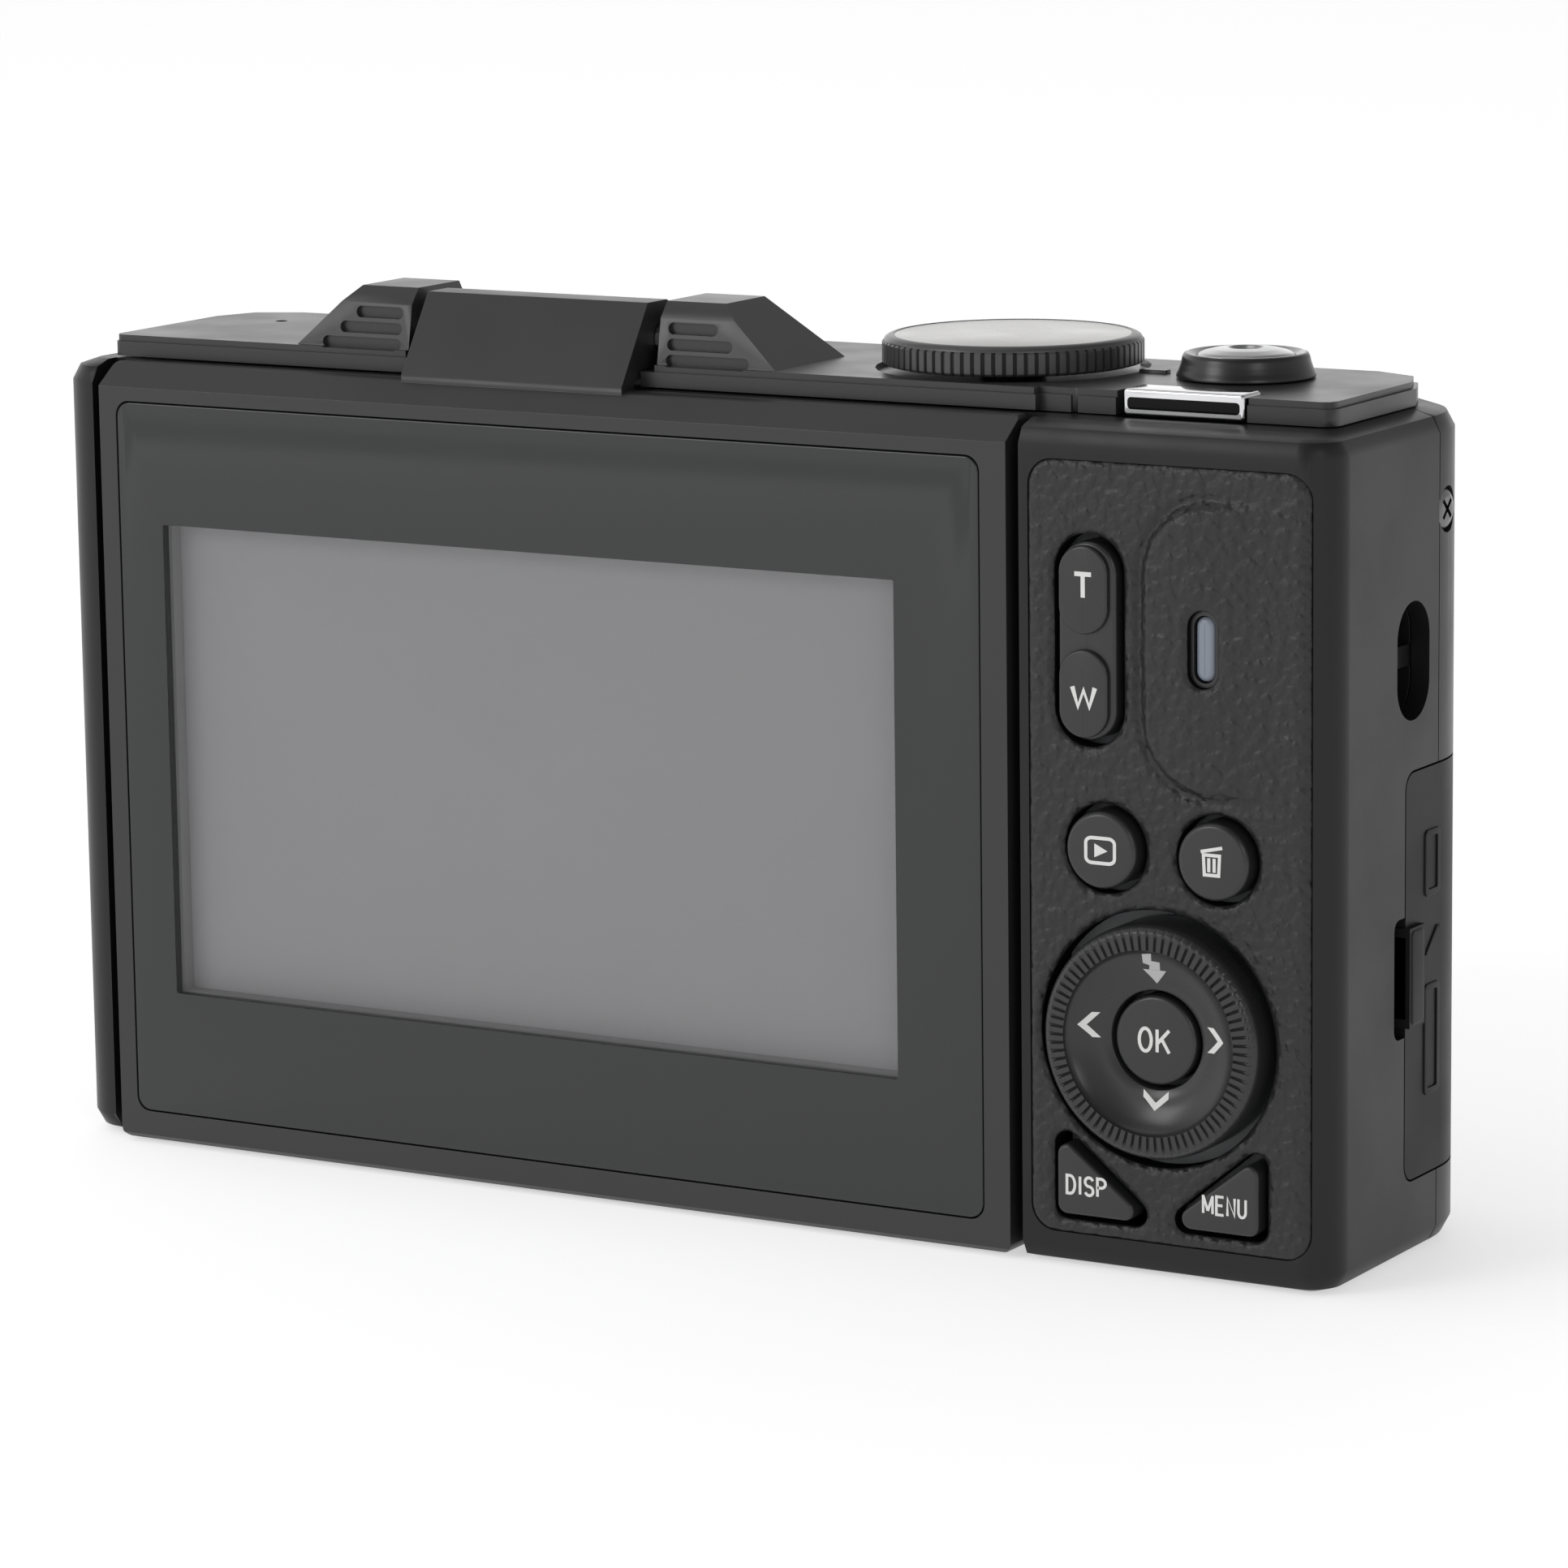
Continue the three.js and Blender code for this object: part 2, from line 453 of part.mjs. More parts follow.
function rearControls() {
  const pad = common(cut(bodyForm(0, REAR, FRONT), bodyForm(PAD.t, REAR, FRONT)), padRegion(0));
  piece("rear_grip_pad", cut(pad, ...controlHoles(REAR - 1, PANEL_IN)), COLOUR.leather, 0.75);

  const rocker = join(
    prismY(pill(ROCKER.x, ROCKER.z, ROCKER.w, ROCKER.h), REAR - 0.35, -15.15, 4),
    prismY(pill(ROCKER.x, ROCKER.z + 3.75, 4.1, 6.4), REAR - 0.7, REAR, 4),
    prismY(pill(ROCKER.x, ROCKER.z - 3.95, 4.1, 6.4), REAR - 0.7, REAR, 4),
    block(ROCKER.x - 3.6, ROCKER.x + 3.6, -15.7, -15.15, ROCKER.z - 7.2, ROCKER.z + 7.2));
  piece("zoom_rocker", rocker, COLOUR.satin, 0.4);

  const round = [
    [0, REAR - BUTTON.proud], [BUTTON.r - 0.45, REAR - BUTTON.proud], [BUTTON.r, REAR - BUTTON.proud + 0.4],
    [BUTTON.r, -15.9], [BUTTON.flange, -15.9], [BUTTON.flange, -15.3], [0, -15.3]];
  piece("play_button", turnedY(round, PLAY.x, PLAY.z), COLOUR.satin, 0.4);
  piece("erase_button", turnedY(round, ERASE.x, ERASE.z), COLOUR.satin, 0.4);

  const besideWheel = turnedY(rod(10.3, -16, -15), WHEEL.x, WHEEL.z, 36);
  const key = (shape, flange) => join(
    prismY(shape, REAR - 0.6, -15.3, 3), cut(prismY(flange, -15.9, -15.3, 3), besideWheel));
  piece("display_button", key(diagonalKey(0), diagonalKey(1.0)), COLOUR.satin, 0.4);
  piece("menu_button", key(mirrorKey(diagonalKey(0)), mirrorKey(diagonalKey(1.0))), COLOUR.satin, 0.4);

  const crown = REAR - WHEEL.top;
  const wheel = [
    [OK.hole, REAR - WHEEL.dish], [5.0, REAR - 0.25], [6.3, REAR - 0.75], [6.94, crown], [8.15, crown],
    [WHEEL.r, crown + 0.65], [WHEEL.r, -15.55], [10.05, -15.55], [10.05, -15.05], [8.9, -15.05],
    [8.9, -16.9], [5.3, -16.9], [5.0, -16.2], [OK.hole, -16.2], [OK.hole, REAR - WHEEL.dish]];
  const clearOfBay = block(BAY.x1 + WALL + 0.3, 60, REAR - 5, MEMBRANE, 0, 40);
  piece("control_pad", common(turnedY(wheel, WHEEL.x, WHEEL.z, 28), clearOfBay), COLOUR.satin, 0.45);
  piece("pad_cushion", turnedY(ring(5.7, 8.5, -16.4, -15.9), WHEEL.x, WHEEL.z), COLOUR.silicone, 0.8);
  const okKey = [
    [0, REAR - 0.3], [OK.r - 0.3, REAR - 0.3], [OK.r, REAR], [OK.r, -15.5], [4.6, -15.5], [4.6, -15.0],
    [0, -15.0]];
  piece("ok_button", turnedY(okKey, WHEEL.x, WHEEL.z), COLOUR.satin, 0.4);

  const lightGuide = prismY(pill(LED.x, LED.z, LED.guideW, LED.guideH), REAR + 0.1, -15.0, 5);
  piece("status_led", lightGuide, COLOUR.led, 0.2);
  piece("key_membrane", block(33.6, 54.5, MEMBRANE, MEMBRANE + 0.4, 4, 58), COLOUR.silicone, 0.8);
  piece("key_board", block(33.6, 54.5, MEMBRANE + 0.6, MEMBRANE + 1.6, 4, 58), COLOUR.board, 0.5);
}

// ---------------------------------------------------------------- top controls

function topControls() {
  const ribs = 24;
  const knurl = new THREE.Shape();
  for (let i = 0; i < ribs; i++) {
    for (const [part, r] of [[0, DIAL.r], [0.5, DIAL.r], [0.62, DIAL.r - 0.3], [0.88, DIAL.r - 0.3]]) {
      const a = 2 * Math.PI * (i + part) / ribs;
      if (i + part === 0) knurl.moveTo(r, 0);
      else knurl.lineTo(r * Math.cos(a), r * Math.sin(a));
    }
  }
  const rim = prismZ(knurl, DIAL.z0, DIAL.z1);
  const crown = [
    [0, 66.6], [DIAL.shoulder, 66.6], [DIAL.shoulder, 66.85], [9.5, 67.08], [DIAL.cap, DIAL.top],
    [0, DIAL.top]];
  const dial = join(
    rim.translate([DIAL.x, DIAL.y, 0]),
    turnedZ(crown, DIAL.x, DIAL.y, 36),
    turnedZ(rod(2.5, 58.5, 66), DIAL.x, DIAL.y, 24));
  piece("mode_dial", dial, COLOUR.satin, 0.35);
  const encoder = block(DIAL.x - 6, DIAL.x + 6, DIAL.y - 5, DIAL.y + 5, 55.5, 58.2);
  piece("mode_switch", encoder, COLOUR.plastic, 0.6);

  const collar = [
    [SHUTTER.rim, 64.25], [SHUTTER.rim, SHUTTER.top - 0.3], [4.3, SHUTTER.top], [4.6, SHUTTER.top],
    [4.8, 65.9], [4.95, 65.4], [SHUTTER.base, 65.0], [SHUTTER.base, TOP.z1 + 0.05],
    [3.88, TOP.z1 + 0.05], [3.88, 64.25], [SHUTTER.rim, 64.25]];
  piece("shutter_ring", turnedZ(collar, SHUTTER.x, SHUTTER.y, 28), COLOUR.satin, 0.25);
  const cap = [
    [0, 66.75], [1.2, 66.8], [1.45, 66.95], [2.4, 66.85], [3.3, 66.6], [SHUTTER.cap, 66.4],
    [SHUTTER.cap, 65.2], [1.6, 65.2], [1.6, 60.0], [0, 60.0]];
  piece("shutter_button", turnedZ(cap, SHUTTER.x, SHUTTER.y, 28), COLOUR.chrome, 0.15, 1);
  const power = join(
    block(POWER.x0, POWER.x1, POWER.y0, POWER.y1, POWER.z0, POWER.z1),
    block(40.5, 44.5, -11.9, -11.1, 59.5, 64));
  piece("power_button", power, COLOUR.chrome, 0.12, 1);
}

// ---------------------------------------------------------------- lens

function lensStages() {
  const { x, z } = LENS;
  const housing = [
    [8, -8.5], [21.8, -8.5], [21.8, 9.4], [20.5, 9.4], [20.5, -7.2], [8, -7.2], [8, -8.5]];
  piece("lens_housing", turnedY(housing, x, z, 36), COLOUR.plastic, 0.6);
  const trim = [
    [20.6, FRONT + 0.05], [25.2, FRONT + 0.05], [25.2, FRONT + 1.4], [24.4, FRONT + 2.4], [21.4, FRONT + 2.8],
    [20.6, FRONT + 2.2], [20.6, FRONT + 0.05]];
  piece("lens_ring", turnedY(trim, x, z, 36), COLOUR.satin, 0.3);
  const outer = [
    [18.1, -6.8], [20.2, -6.8], [20.2, 15.4], [19.8, 15.9], [18.1, 15.9], [18.1, -6.8]];
  piece("lens_outer_tube", turnedY(outer, x, z, 32), COLOUR.satin, 0.35);
  const inner = [
    [16.0, -6.6], [17.8, -6.6], [17.8, 18.9], [17.3, LENS.nose], [9.5, LENS.nose - 0.8], [LENS.iris, 17.7],
    [LENS.iris, 17.3], [16.0, 17.3], [16.0, 15.6], [9.4, 15.6], [9.4, 11.0], [7.6, 10.6], [7.6, 10.0],
    [16.0, 10.0], [16.0, -6.6]];
  const pins = [1, -1].map((s) => turnedY(rod(0.9, 15.4, 17.5), x + 12.8, z + s * 1.5, 12));
  piece("lens_inner_tube", join(turnedY(inner, x, z, 32), ...pins), COLOUR.satin, 0.35);
  const element = [
    [0, 11.4], [9.2, 11.4], [9.2, 13.2], [7.6, 14.2], [5.0, 14.8], [2.5, 15.1], [0, 15.2]];
  piece("front_element", turnedY(element, x, z, 24), COLOUR.lens, 0.05);
  for (const [name, side] of [["barrier_upper", 1], ["barrier_lower", -1]]) {
    const leaf = new THREE.Shape();
    const low = 0.15;
    const r = 7.0;
    leaf.moveTo(-r, low);
    leaf.lineTo(14.2, low);
    leaf.absarc(12.8, 1.55, 1.4, -Math.PI / 2, Math.PI / 2);
    leaf.lineTo(6.3, 2.95);
    leaf.absarc(0, low, r, 0.42, Math.PI);
    const outline = leaf.getPoints(8).map((p) => [p.x, side * p.y]);
    const flat = polygon(side > 0 ? outline : outline.reverse());
    const blade = prismY(flat, 15.95, 16.9, 8).translate([x, 0, z]);
    const bore = turnedY(rod(1.0, 15, 18), x + 12.8, z + side * 1.5, 12);
    piece(name, cut(blade, bore), COLOUR.rubber, 0.5);
  }
  piece("image_sensor", block(x - 6.5, x + 6.5, -10.2, -8.8, z - 5, z + 5), COLOUR.board, 0.3);
  piece("zoom_motor", turnedX(rod(3.6, 11.5, 26), 3.2, 48.7, 20), COLOUR.steel, 0.35, 1);
}

// ---------------------------------------------------------------- front details

function frontDetails() {
  const { x, z, w, h } = FLASH;
  const window = prismY(centred(x, z, w - 0.2, h - 0.2, 0.9), 8.4, FRONT - 0.05, 4);
  piece("flash_window", window, COLOUR.white, 0.1);
  const bowl = polygon([[8.2, z - 3.0], [8.2, z + 3.0], [4.2, z + 1.6], [4.2, z - 1.6]]);
  const bowlInside = polygon([[8.3, z - 2.6], [8.3, z + 2.6], [4.7, z + 1.3], [4.7, z - 1.3]]);
  piece("flash_reflector", cut(prismX(bowl, x - 5.6, x + 5.6), prismX(bowlInside, x - 5.2, x + 5.2)),
    COLOUR.chrome, 0.1, 1);
  piece("flash_tube", turnedX(rod(0.7, x - 5.0, x + 5.0), 6.1, z, 12), COLOUR.white, 0.1);
  piece("flash_capacitor", turnedZ(rod(4.2, 5, 40), -46.5, -2.5, 24), COLOUR.rubber, 0.4);
  piece("af_lamp_window", turnedY(
    [[0, 7.6], [2.9, 7.6], [2.9, 8.1], [LAMP.r - 0.1, 8.1], [LAMP.r - 0.1, FRONT - 0.1], [0, FRONT - 0.1]],
    LAMP.x, LAMP.z, 24), COLOUR.led, 0.1);

  const plan = new THREE.Shape();
  plan.moveTo(GRIP.x0, FRONT - 0.4);
  plan.lineTo(GRIP.x1, FRONT - 0.4);
  const crest = FRONT + GRIP.bulge;
  plan.bezierCurveTo(GRIP.x1, crest, GRIP.x1 - 6, crest, GRIP.x1 - 9, crest);
  plan.bezierCurveTo(GRIP.x0 + 6, crest, GRIP.x0 + 2, FRONT + 1.0, GRIP.x0, FRONT + 0.4);
  plan.closePath();
  const face = prismY(rectangle(GRIP.x0, GRIP.x1, GRIP.z0, GRIP.z1, 3), 0, 20, 4);
  const gripSeatForm = common(prismZ(plan, GRIP.z0, GRIP.z1, 8), face);
  piece("front_grip_pad", gripSeatForm, COLOUR.leather, 0.75);
}

// ---------------------------------------------------------------- side and bottom

function sideAndBottom() {
  const skin = common(flapSkin, flapSlot);
  const tab = block(55.6, FLAP_TAB.x, FLAP_TAB.y0, FLAP_TAB.y1, FLAP_TAB.z0, FLAP_TAB.z1);
  const plug = block(54.0, 55.5, -3.2, 2.6, 10.0, 18.0);
  piece("port_flap", join(skin, tab, plug), COLOUR.rubber, 0.7);
  const socket = (z, w, h) => cut(
    block(48.6, 53.6, -0.6 - w / 2, -0.6 + w / 2, z - h / 2, z + h / 2),
    block(49.2, 54.6, -0.2 - w / 2, -1.0 + w / 2, z - h / 2 + 0.4, z + h / 2 - 0.4));
  piece("usb_socket", socket(13.5, 3.0, 8.0), COLOUR.steel, 0.3, 1);
  piece("video_socket", socket(29.5, 3.2, 7.0), COLOUR.steel, 0.3, 1);

  const cup = cut(
    block(50.5, 54.95, STRAP.y - 4.0, STRAP.y + 4.0, STRAP.z - 5.6, STRAP.z + 5.6),
    prismX(pill(STRAP.y, STRAP.z, STRAP.w, STRAP.h), 51.3, 60));
  const bar = block(53.0, 54.95, STRAP.y - 3.2, STRAP.y + 3.2, STRAP.z - 0.85, STRAP.z + 0.75);
  piece("strap_anchor", join(cup, bar), COLOUR.plastic, 0.35, 0.4);

  const latchSlot = block(44.0, 48.6, -2.0, 2.0, -1, 5);
  const recess = block(DOOR.x0 + 1.0, DOOR.x1 - 1.0, DOOR.y0 + 2.2, DOOR.y1 - 1.0, 1.0, 5);
  const half = DOOR.t / 2;
  const doorSection = new THREE.Shape();
  doorSection.moveTo(DOOR.y1, 0);
  doorSection.lineTo(DOOR.y1, DOOR.t);
  doorSection.lineTo(doorAxis.y, DOOR.t);
  doorSection.absarc(doorAxis.y, doorAxis.z, half, Math.PI / 2, 1.5 * Math.PI);
  doorSection.closePath();
  const form = common(prismX(doorSection, DOOR.x0, DOOR.x1, 8), bodyForm(0, REAR, FRONT));
  const bore = doorPin(DOOR_PIN.r + DOOR_PIN.clear, 0.2);
  piece("battery_door", cut(form, recess, latchSlot, bore), COLOUR.plastic, 0.55);
  piece("door_latch", join(
    block(44.2, 46.4, -1.8, 1.8, 0.15, 1.2), block(42.6, 47.0, -2.8, 2.8, 1.1, 1.5)), COLOUR.satin, 0.5);
  piece("door_hinge_rod", doorPin(DOOR_PIN.r, 0), COLOUR.steel, 0.3, 1);

  piece("battery", block(15.4, 47.4, -0.9, 6.1, 3.2, 42.5), COLOUR.battery, 0.5);
  piece("battery_holder", cut(
    block(14.6, 48.2, -1.7, 6.9, 5.2, 44.6), block(15.2, 47.6, -1.1, 6.3, 4, 43.6)), COLOUR.plastic, 0.6);
  piece("card_socket", cut(
    block(20, 46, -5.4, -2.6, 5.2, 30), block(20.7, 45.3, -5.0, -2.9, 4, 29)), COLOUR.steel, 0.35, 1);
  piece("main_board", block(-50, 31.5, -11.6, -10.6, 4, 58), COLOUR.board, 0.5);
  const boss = [
    [0, 5.9], [TRIPOD.bore, 5.9], [TRIPOD.bore, 0.1], [4.2, 0.1], [4.2, 1.6], [TRIPOD.r, 1.6],
    [TRIPOD.r, 6.4], [0, 6.4]];
  piece("tripod_socket", turnedZ(boss, TRIPOD.x, TRIPOD.y, 24), COLOUR.brass, 0.35, 1);
  piece("speaker", turnedZ(rod(5.5, 1.7, 4.2), -33.0, -2.0, 24), COLOUR.rubber, 0.5);
  piece("microphone", turnedZ(rod(2.0, 58.0, 60.5), -45.85, -0.2, 16), COLOUR.steel, 0.4, 1);
}

// ---------------------------------------------------------------- the camera

piece("rear_cover", rearCover(), COLOUR.plastic, 0.5);
piece("front_cover", frontCover(), COLOUR.plastic, 0.5);
piece("top_cover", topCover(), COLOUR.plastic, 0.5);
screws();
screen();
rearControls();
topControls();
lensStages();
frontDetails();
sideAndBottom();

export default camera;
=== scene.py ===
"""Looks of the compact digital camera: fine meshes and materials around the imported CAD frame.

Lengths are millimetres in the helpers and become metres when a mesh is made. +X points right as
seen from the back of the camera, the screen faces -Y, and +Z points up.
"""
import json
import math
from contextlib import contextmanager

import bmesh
import bpy
from mathutils import Matrix, Vector, geometry, noise


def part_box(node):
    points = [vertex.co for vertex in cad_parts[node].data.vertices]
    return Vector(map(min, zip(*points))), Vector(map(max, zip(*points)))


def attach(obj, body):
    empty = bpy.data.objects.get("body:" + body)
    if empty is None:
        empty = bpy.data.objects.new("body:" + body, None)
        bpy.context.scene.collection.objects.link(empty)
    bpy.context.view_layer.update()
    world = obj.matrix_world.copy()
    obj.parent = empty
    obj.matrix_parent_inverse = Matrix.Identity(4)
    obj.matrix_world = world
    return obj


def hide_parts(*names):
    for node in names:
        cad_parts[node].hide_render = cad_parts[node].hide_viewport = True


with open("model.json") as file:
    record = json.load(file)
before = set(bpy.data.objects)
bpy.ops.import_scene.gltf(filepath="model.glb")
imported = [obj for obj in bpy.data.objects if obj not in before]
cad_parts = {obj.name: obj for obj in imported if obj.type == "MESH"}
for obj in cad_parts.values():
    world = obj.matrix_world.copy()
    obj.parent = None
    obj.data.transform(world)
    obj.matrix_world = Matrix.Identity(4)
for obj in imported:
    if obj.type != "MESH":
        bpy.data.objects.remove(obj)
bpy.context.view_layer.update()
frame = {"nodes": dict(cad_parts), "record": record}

MM = 0.001
TAU = 2 * math.pi
noise.seed_set(1)       # without a seed, noise_vector takes its offsets from the clock

BODY_OF = {node: body for body, nodes in frame["record"]["behaviour"]["bodies"].items() for node in nodes}


def corners(node):
    """Lowest and highest corner of a CAD node, in millimetres."""
    low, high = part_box(node)
    return low / MM, high / MM


def middle(node):
    """Middle of a CAD node's box, in millimetres."""
    low, high = corners(node)
    return (low + high) / 2


# ---- materials

def new_material(name, colour, roughness, metallic=0.0, **sockets):
    """A constant material. Further sockets are named with underscores for spaces."""
    material = bpy.data.materials.new(name)
    material.use_nodes = True
    shader = material.node_tree.nodes["Principled BSDF"]
    shader.inputs["Base Color"].default_value = (*colour, 1.0)
    shader.inputs["Roughness"].default_value = roughness
    shader.inputs["Metallic"].default_value = metallic
    for socket, value in sockets.items():
        shader.inputs[socket.replace("_", " ")].default_value = value
    return material


def add_node(tree, kind, inputs, **settings):
    """A shader node. Each input is given a constant, or the socket that feeds it."""
    node = tree.nodes.new(kind)
    for key, value in settings.items():
        setattr(node, key, value)
    for key, value in inputs.items():
        if isinstance(value, bpy.types.NodeSocket):
            tree.links.new(value, node.inputs[key])
        else:
            node.inputs[key].default_value = value
    return node


def coordinates(tree, kind="Object"):
    return add_node(tree, "ShaderNodeTexCoord", {}).outputs[kind]


def noise_texture(tree, scale, detail):
    """Noise in the piece's own coordinates. scale is in features per metre."""
    inputs = {"Vector": coordinates(tree), "Scale": scale, "Detail": detail}
    return add_node(tree, "ShaderNodeTexNoise", inputs).outputs["Fac"]


def ramped(tree, source, low, high, start=0.3, end=0.7):
    """Maps texture values from start to end onto low to high, with soft ends."""
    inputs = {"Value": source, "From Min": start, "From Max": end, "To Min": low, "To Max": high}
    return add_node(tree, "ShaderNodeMapRange", inputs, interpolation_type="SMOOTHSTEP").outputs["Result"]


def vary(material, colour, spread, roughness, rough_spread, scale):
    """Slow variation of colour and roughness over a surface."""
    tree = material.node_tree
    shader = tree.nodes["Principled BSDF"]
    cloud = noise_texture(tree, scale, 4.0)
    dark, light = ((*[c * (1 + way * spread) for c in colour], 1) for way in (-1, 1))
    tint = add_node(tree, "ShaderNodeMix", {"A": dark, "B": light, "Factor": cloud}, data_type="RGBA")
    tree.links.new(tint.outputs["Result"], shader.inputs["Base Color"])
    rough = ramped(tree, cloud, roughness - rough_spread, roughness + rough_spread)
    tree.links.new(rough, shader.inputs["Roughness"])


def plain(name, colour, roughness, spread=0.06, rough_spread=0.05, scale=400.0, metallic=0.0, **sockets):
    """A smooth material with slow variation only."""
    material = new_material(name, colour, roughness, metallic, **sockets)
    vary(material, colour, spread, roughness, rough_spread, scale)
    return material


def metal(name, tone, roughness):
    """Bare metal of an even grey tone."""
    return plain(name, (tone, tone, tone * 1.02), roughness, 0.05, roughness * 0.3, 300.0, 1.0)


def bump(material, source, strength, height_mm):
    """Adds a relief on top of any bump that the material has already."""
    tree = material.node_tree
    normal = tree.nodes["Principled BSDF"].inputs["Normal"]
    inputs = {"Strength": strength, "Distance": height_mm * MM, "Height": source}
    if normal.is_linked:
        inputs["Normal"] = normal.links[0].from_socket
    relief = add_node(tree, "ShaderNodeBump", inputs)
    tree.links.new(relief.outputs["Normal"], normal)


def satin(name, colour, roughness, grain=6000.0, strength=0.25, gloss=0.3):
    """Moulded plastic with a fine spark-eroded texture."""
    material = plain(name, colour, roughness, 0.12, 0.04, 120.0, Specular_IOR_Level=gloss)
    bump(material, noise_texture(material.node_tree, grain, 3.0), strength, 0.02)
    return material


def turned_metal(name, colour, roughness, axis, centre, metallic=1.0):
    """Metal with fine concentric tool marks round an axis through centre, in millimetres."""
    material = plain(name, colour, roughness, 0.1, 0.03, 200.0, metallic)
    tree = material.node_tree
    across = [0.0 if i == axis else 1.0 for i in range(3)]
    place = coordinates(tree)
    for operation, value in (("SUBTRACT", Vector(centre) * MM), ("MULTIPLY", across), ("LENGTH", (0, 0, 0))):
        step = add_node(tree, "ShaderNodeVectorMath", {0: place, 1: value}, operation=operation)
        place = step.outputs[0]
    rings = add_node(tree, "ShaderNodeTexNoise", {"W": step.outputs["Value"], "Scale": 9000.0, "Detail": 2.0},
                     noise_dimensions="1D")
    bump(material, rings.outputs["Fac"], 0.35, 0.02)
    return material


def leather_material():
    """Pebbled synthetic leather: a slow swell is in the mesh, the soft pebbles and pores are here."""
    material = plain("pebbled_leather", (0.0135, 0.0135, 0.014), 0.42, 0.2, 0.06, 500.0,
                     Specular_IOR_Level=0.42)
    tree = material.node_tree
    for scale, depth, strength in ((1350.0, 0.13, 0.75), (2900.0, 0.05, 0.5)):
        inputs = {"Vector": coordinates(tree), "Scale": scale, "Smoothness": 0.8, "Randomness": 1.0}
        cells = add_node(tree, "ShaderNodeTexVoronoi", inputs, feature="SMOOTH_F1")
        bump(material, ramped(tree, cells.outputs["Distance"], 1.0, 0.0, 0.1, 0.75), strength, depth)
    bump(material, noise_texture(tree, 6000.0, 2.0), 0.2, 0.012)
    return material


PLASTIC = (0.0105, 0.0105, 0.0107)
SATIN = (0.0195, 0.0195, 0.0199)
TOP = (0.024, 0.024, 0.0243)
FINE = 9000.0               # grain of the smoother plastics, in features per metre

body_plastic = satin("body_plastic", PLASTIC, 0.36, gloss=0.28)
top_plastic = satin("top_plastic", TOP, 0.32, FINE, 0.12, 0.5)
bezel_plastic = satin("bezel_plastic", SATIN, 0.38, FINE, 0.15, 0.5)
dial_plastic = satin("dial_plastic", (0.05, 0.05, 0.0505), 0.3, FINE, 0.1, 0.5)
key_plastic = satin("key_plastic", SATIN, 0.3, FINE, 0.1, 0.48)
leather = leather_material()
# Near-black and almost without reflection: painted shade on the walls of the leather's holes.
deep_shade = satin("deep_shade", (0.003, 0.003, 0.003), 0.8, gloss=0.05)
rubber = satin("port_rubber", (0.0115, 0.0115, 0.0118), 0.42, 4000.0, 0.3, 0.15)
dark_rubber = satin("shutter_blade", (0.008, 0.008, 0.008), 0.45)
chrome = metal("chrome", 0.62, 0.08)
# A near-black mirror: painted dark reflection on the power key's chrome face.
painted_dark_reflection = metal("painted_dark_reflection", 0.012, 0.1)
cap_metal = metal("cap_metal", 0.48, 0.2)
steel = metal("steel", 0.45, 0.3)
screw_metal = metal("nickel_screw", 0.17, 0.3)
brass = plain("brass", (0.60, 0.45, 0.20), 0.3, metallic=1.0)
silicone = plain("silicone", (0.40, 0.40, 0.38), 0.5, Subsurface_Weight=0.2)
board = plain("solder_mask", (0.02, 0.09, 0.045), 0.35)
battery_wrap = plain("battery_wrap", (0.04, 0.05, 0.06), 0.35)
print_white = plain("print_white", (0.68, 0.68, 0.67), 0.55)
print_grey = plain("print_grey", (0.42, 0.42, 0.42), 0.55)
black_gloss = plain("black_gloss", (0.014, 0.014, 0.0145), 0.3, 0.1, 0.03, 200.0)
smoked_pane = plain("smoked_pane", (0.012, 0.012, 0.0125), 0.03, 0.02, 0.01, 60.0, Alpha=0.25)
screen_mask = plain("screen_mask", (0.0192, 0.0202, 0.0202), 0.06, 0.04, 0.01, 100.0)
screen_gasket = plain("screen_gasket", (0.45, 0.45, 0.455), 0.6, 0.05, 0.02, 100.0)
display = plain("display", (0.71, 0.71, 0.73), 0.4, 0.02, 0.02, 60.0)
light_guide = plain("light_guide", (0.21, 0.235, 0.28), 0.3, 0.05, 0.03, 300.0)
lamp_red = plain("lamp_red", (0.25, 0.02, 0.02), 0.12, 0.05, 0.02, 200.0, Transmission_Weight=0.4)
coated_glass = plain("coated_glass", (0.02, 0.03, 0.06), 0.03, 0.1, 0.01, 100.0, Coat_Weight=1.0,
                     Coat_Roughness=0.02, Coat_Tint=(0.5, 0.6, 1.0, 1.0))
window_glass = new_material("window_glass", (0.9, 0.91, 0.93), 0.02, Transmission_Weight=1.0, IOR=1.5)


# ---- outlines, in millimetres

def arc(u, v, ru, rv, start, end, count=10):
    """Points on an arc with two radii, angles in degrees."""
    angles = [math.radians(start + (end - start) * i / count) for i in range(count + 1)]
    return [(u + ru * math.cos(a), v + rv * math.sin(a)) for a in angles]


def circle(u, v, r, count=96):
    return [(u + r * math.cos(TAU * i / count), v + r * math.sin(TAU * i / count)) for i in range(count)]


def rounded_polygon(points, r, count=10):
    """A closed convex outline, anticlockwise, with rounded corners."""
    outline = []
    n = len(points)
    for i in range(n):
        last, here, after = (Vector(points[(i + k) % n]) for k in (-1, 0, 1))
        into, out = (here - last).normalized(), (after - here).normalized()
        turn = math.atan2(into.x * out.y - into.y * out.x, into.dot(out))
        reach = r * math.tan(turn / 2)
        centre = here - into * reach + Vector((-into.y, into.x)) * r
        start = math.atan2(-into.x, into.y)
        for k in range(count + 1):
            a = start + turn * k / count
            outline.append((centre.x + r * math.cos(a), centre.y + r * math.sin(a)))
    return outline


def rectangle(u0, u1, v0, v1, r, count=10):
    return rounded_polygon([(u0, v0), (u1, v0), (u1, v1), (u0, v1)], r, count)


def front_of(low, high, r, count):
    """The rounded outline of a box as seen along Y."""
    return rectangle(low.x, high.x, low.z, high.z, r, count)


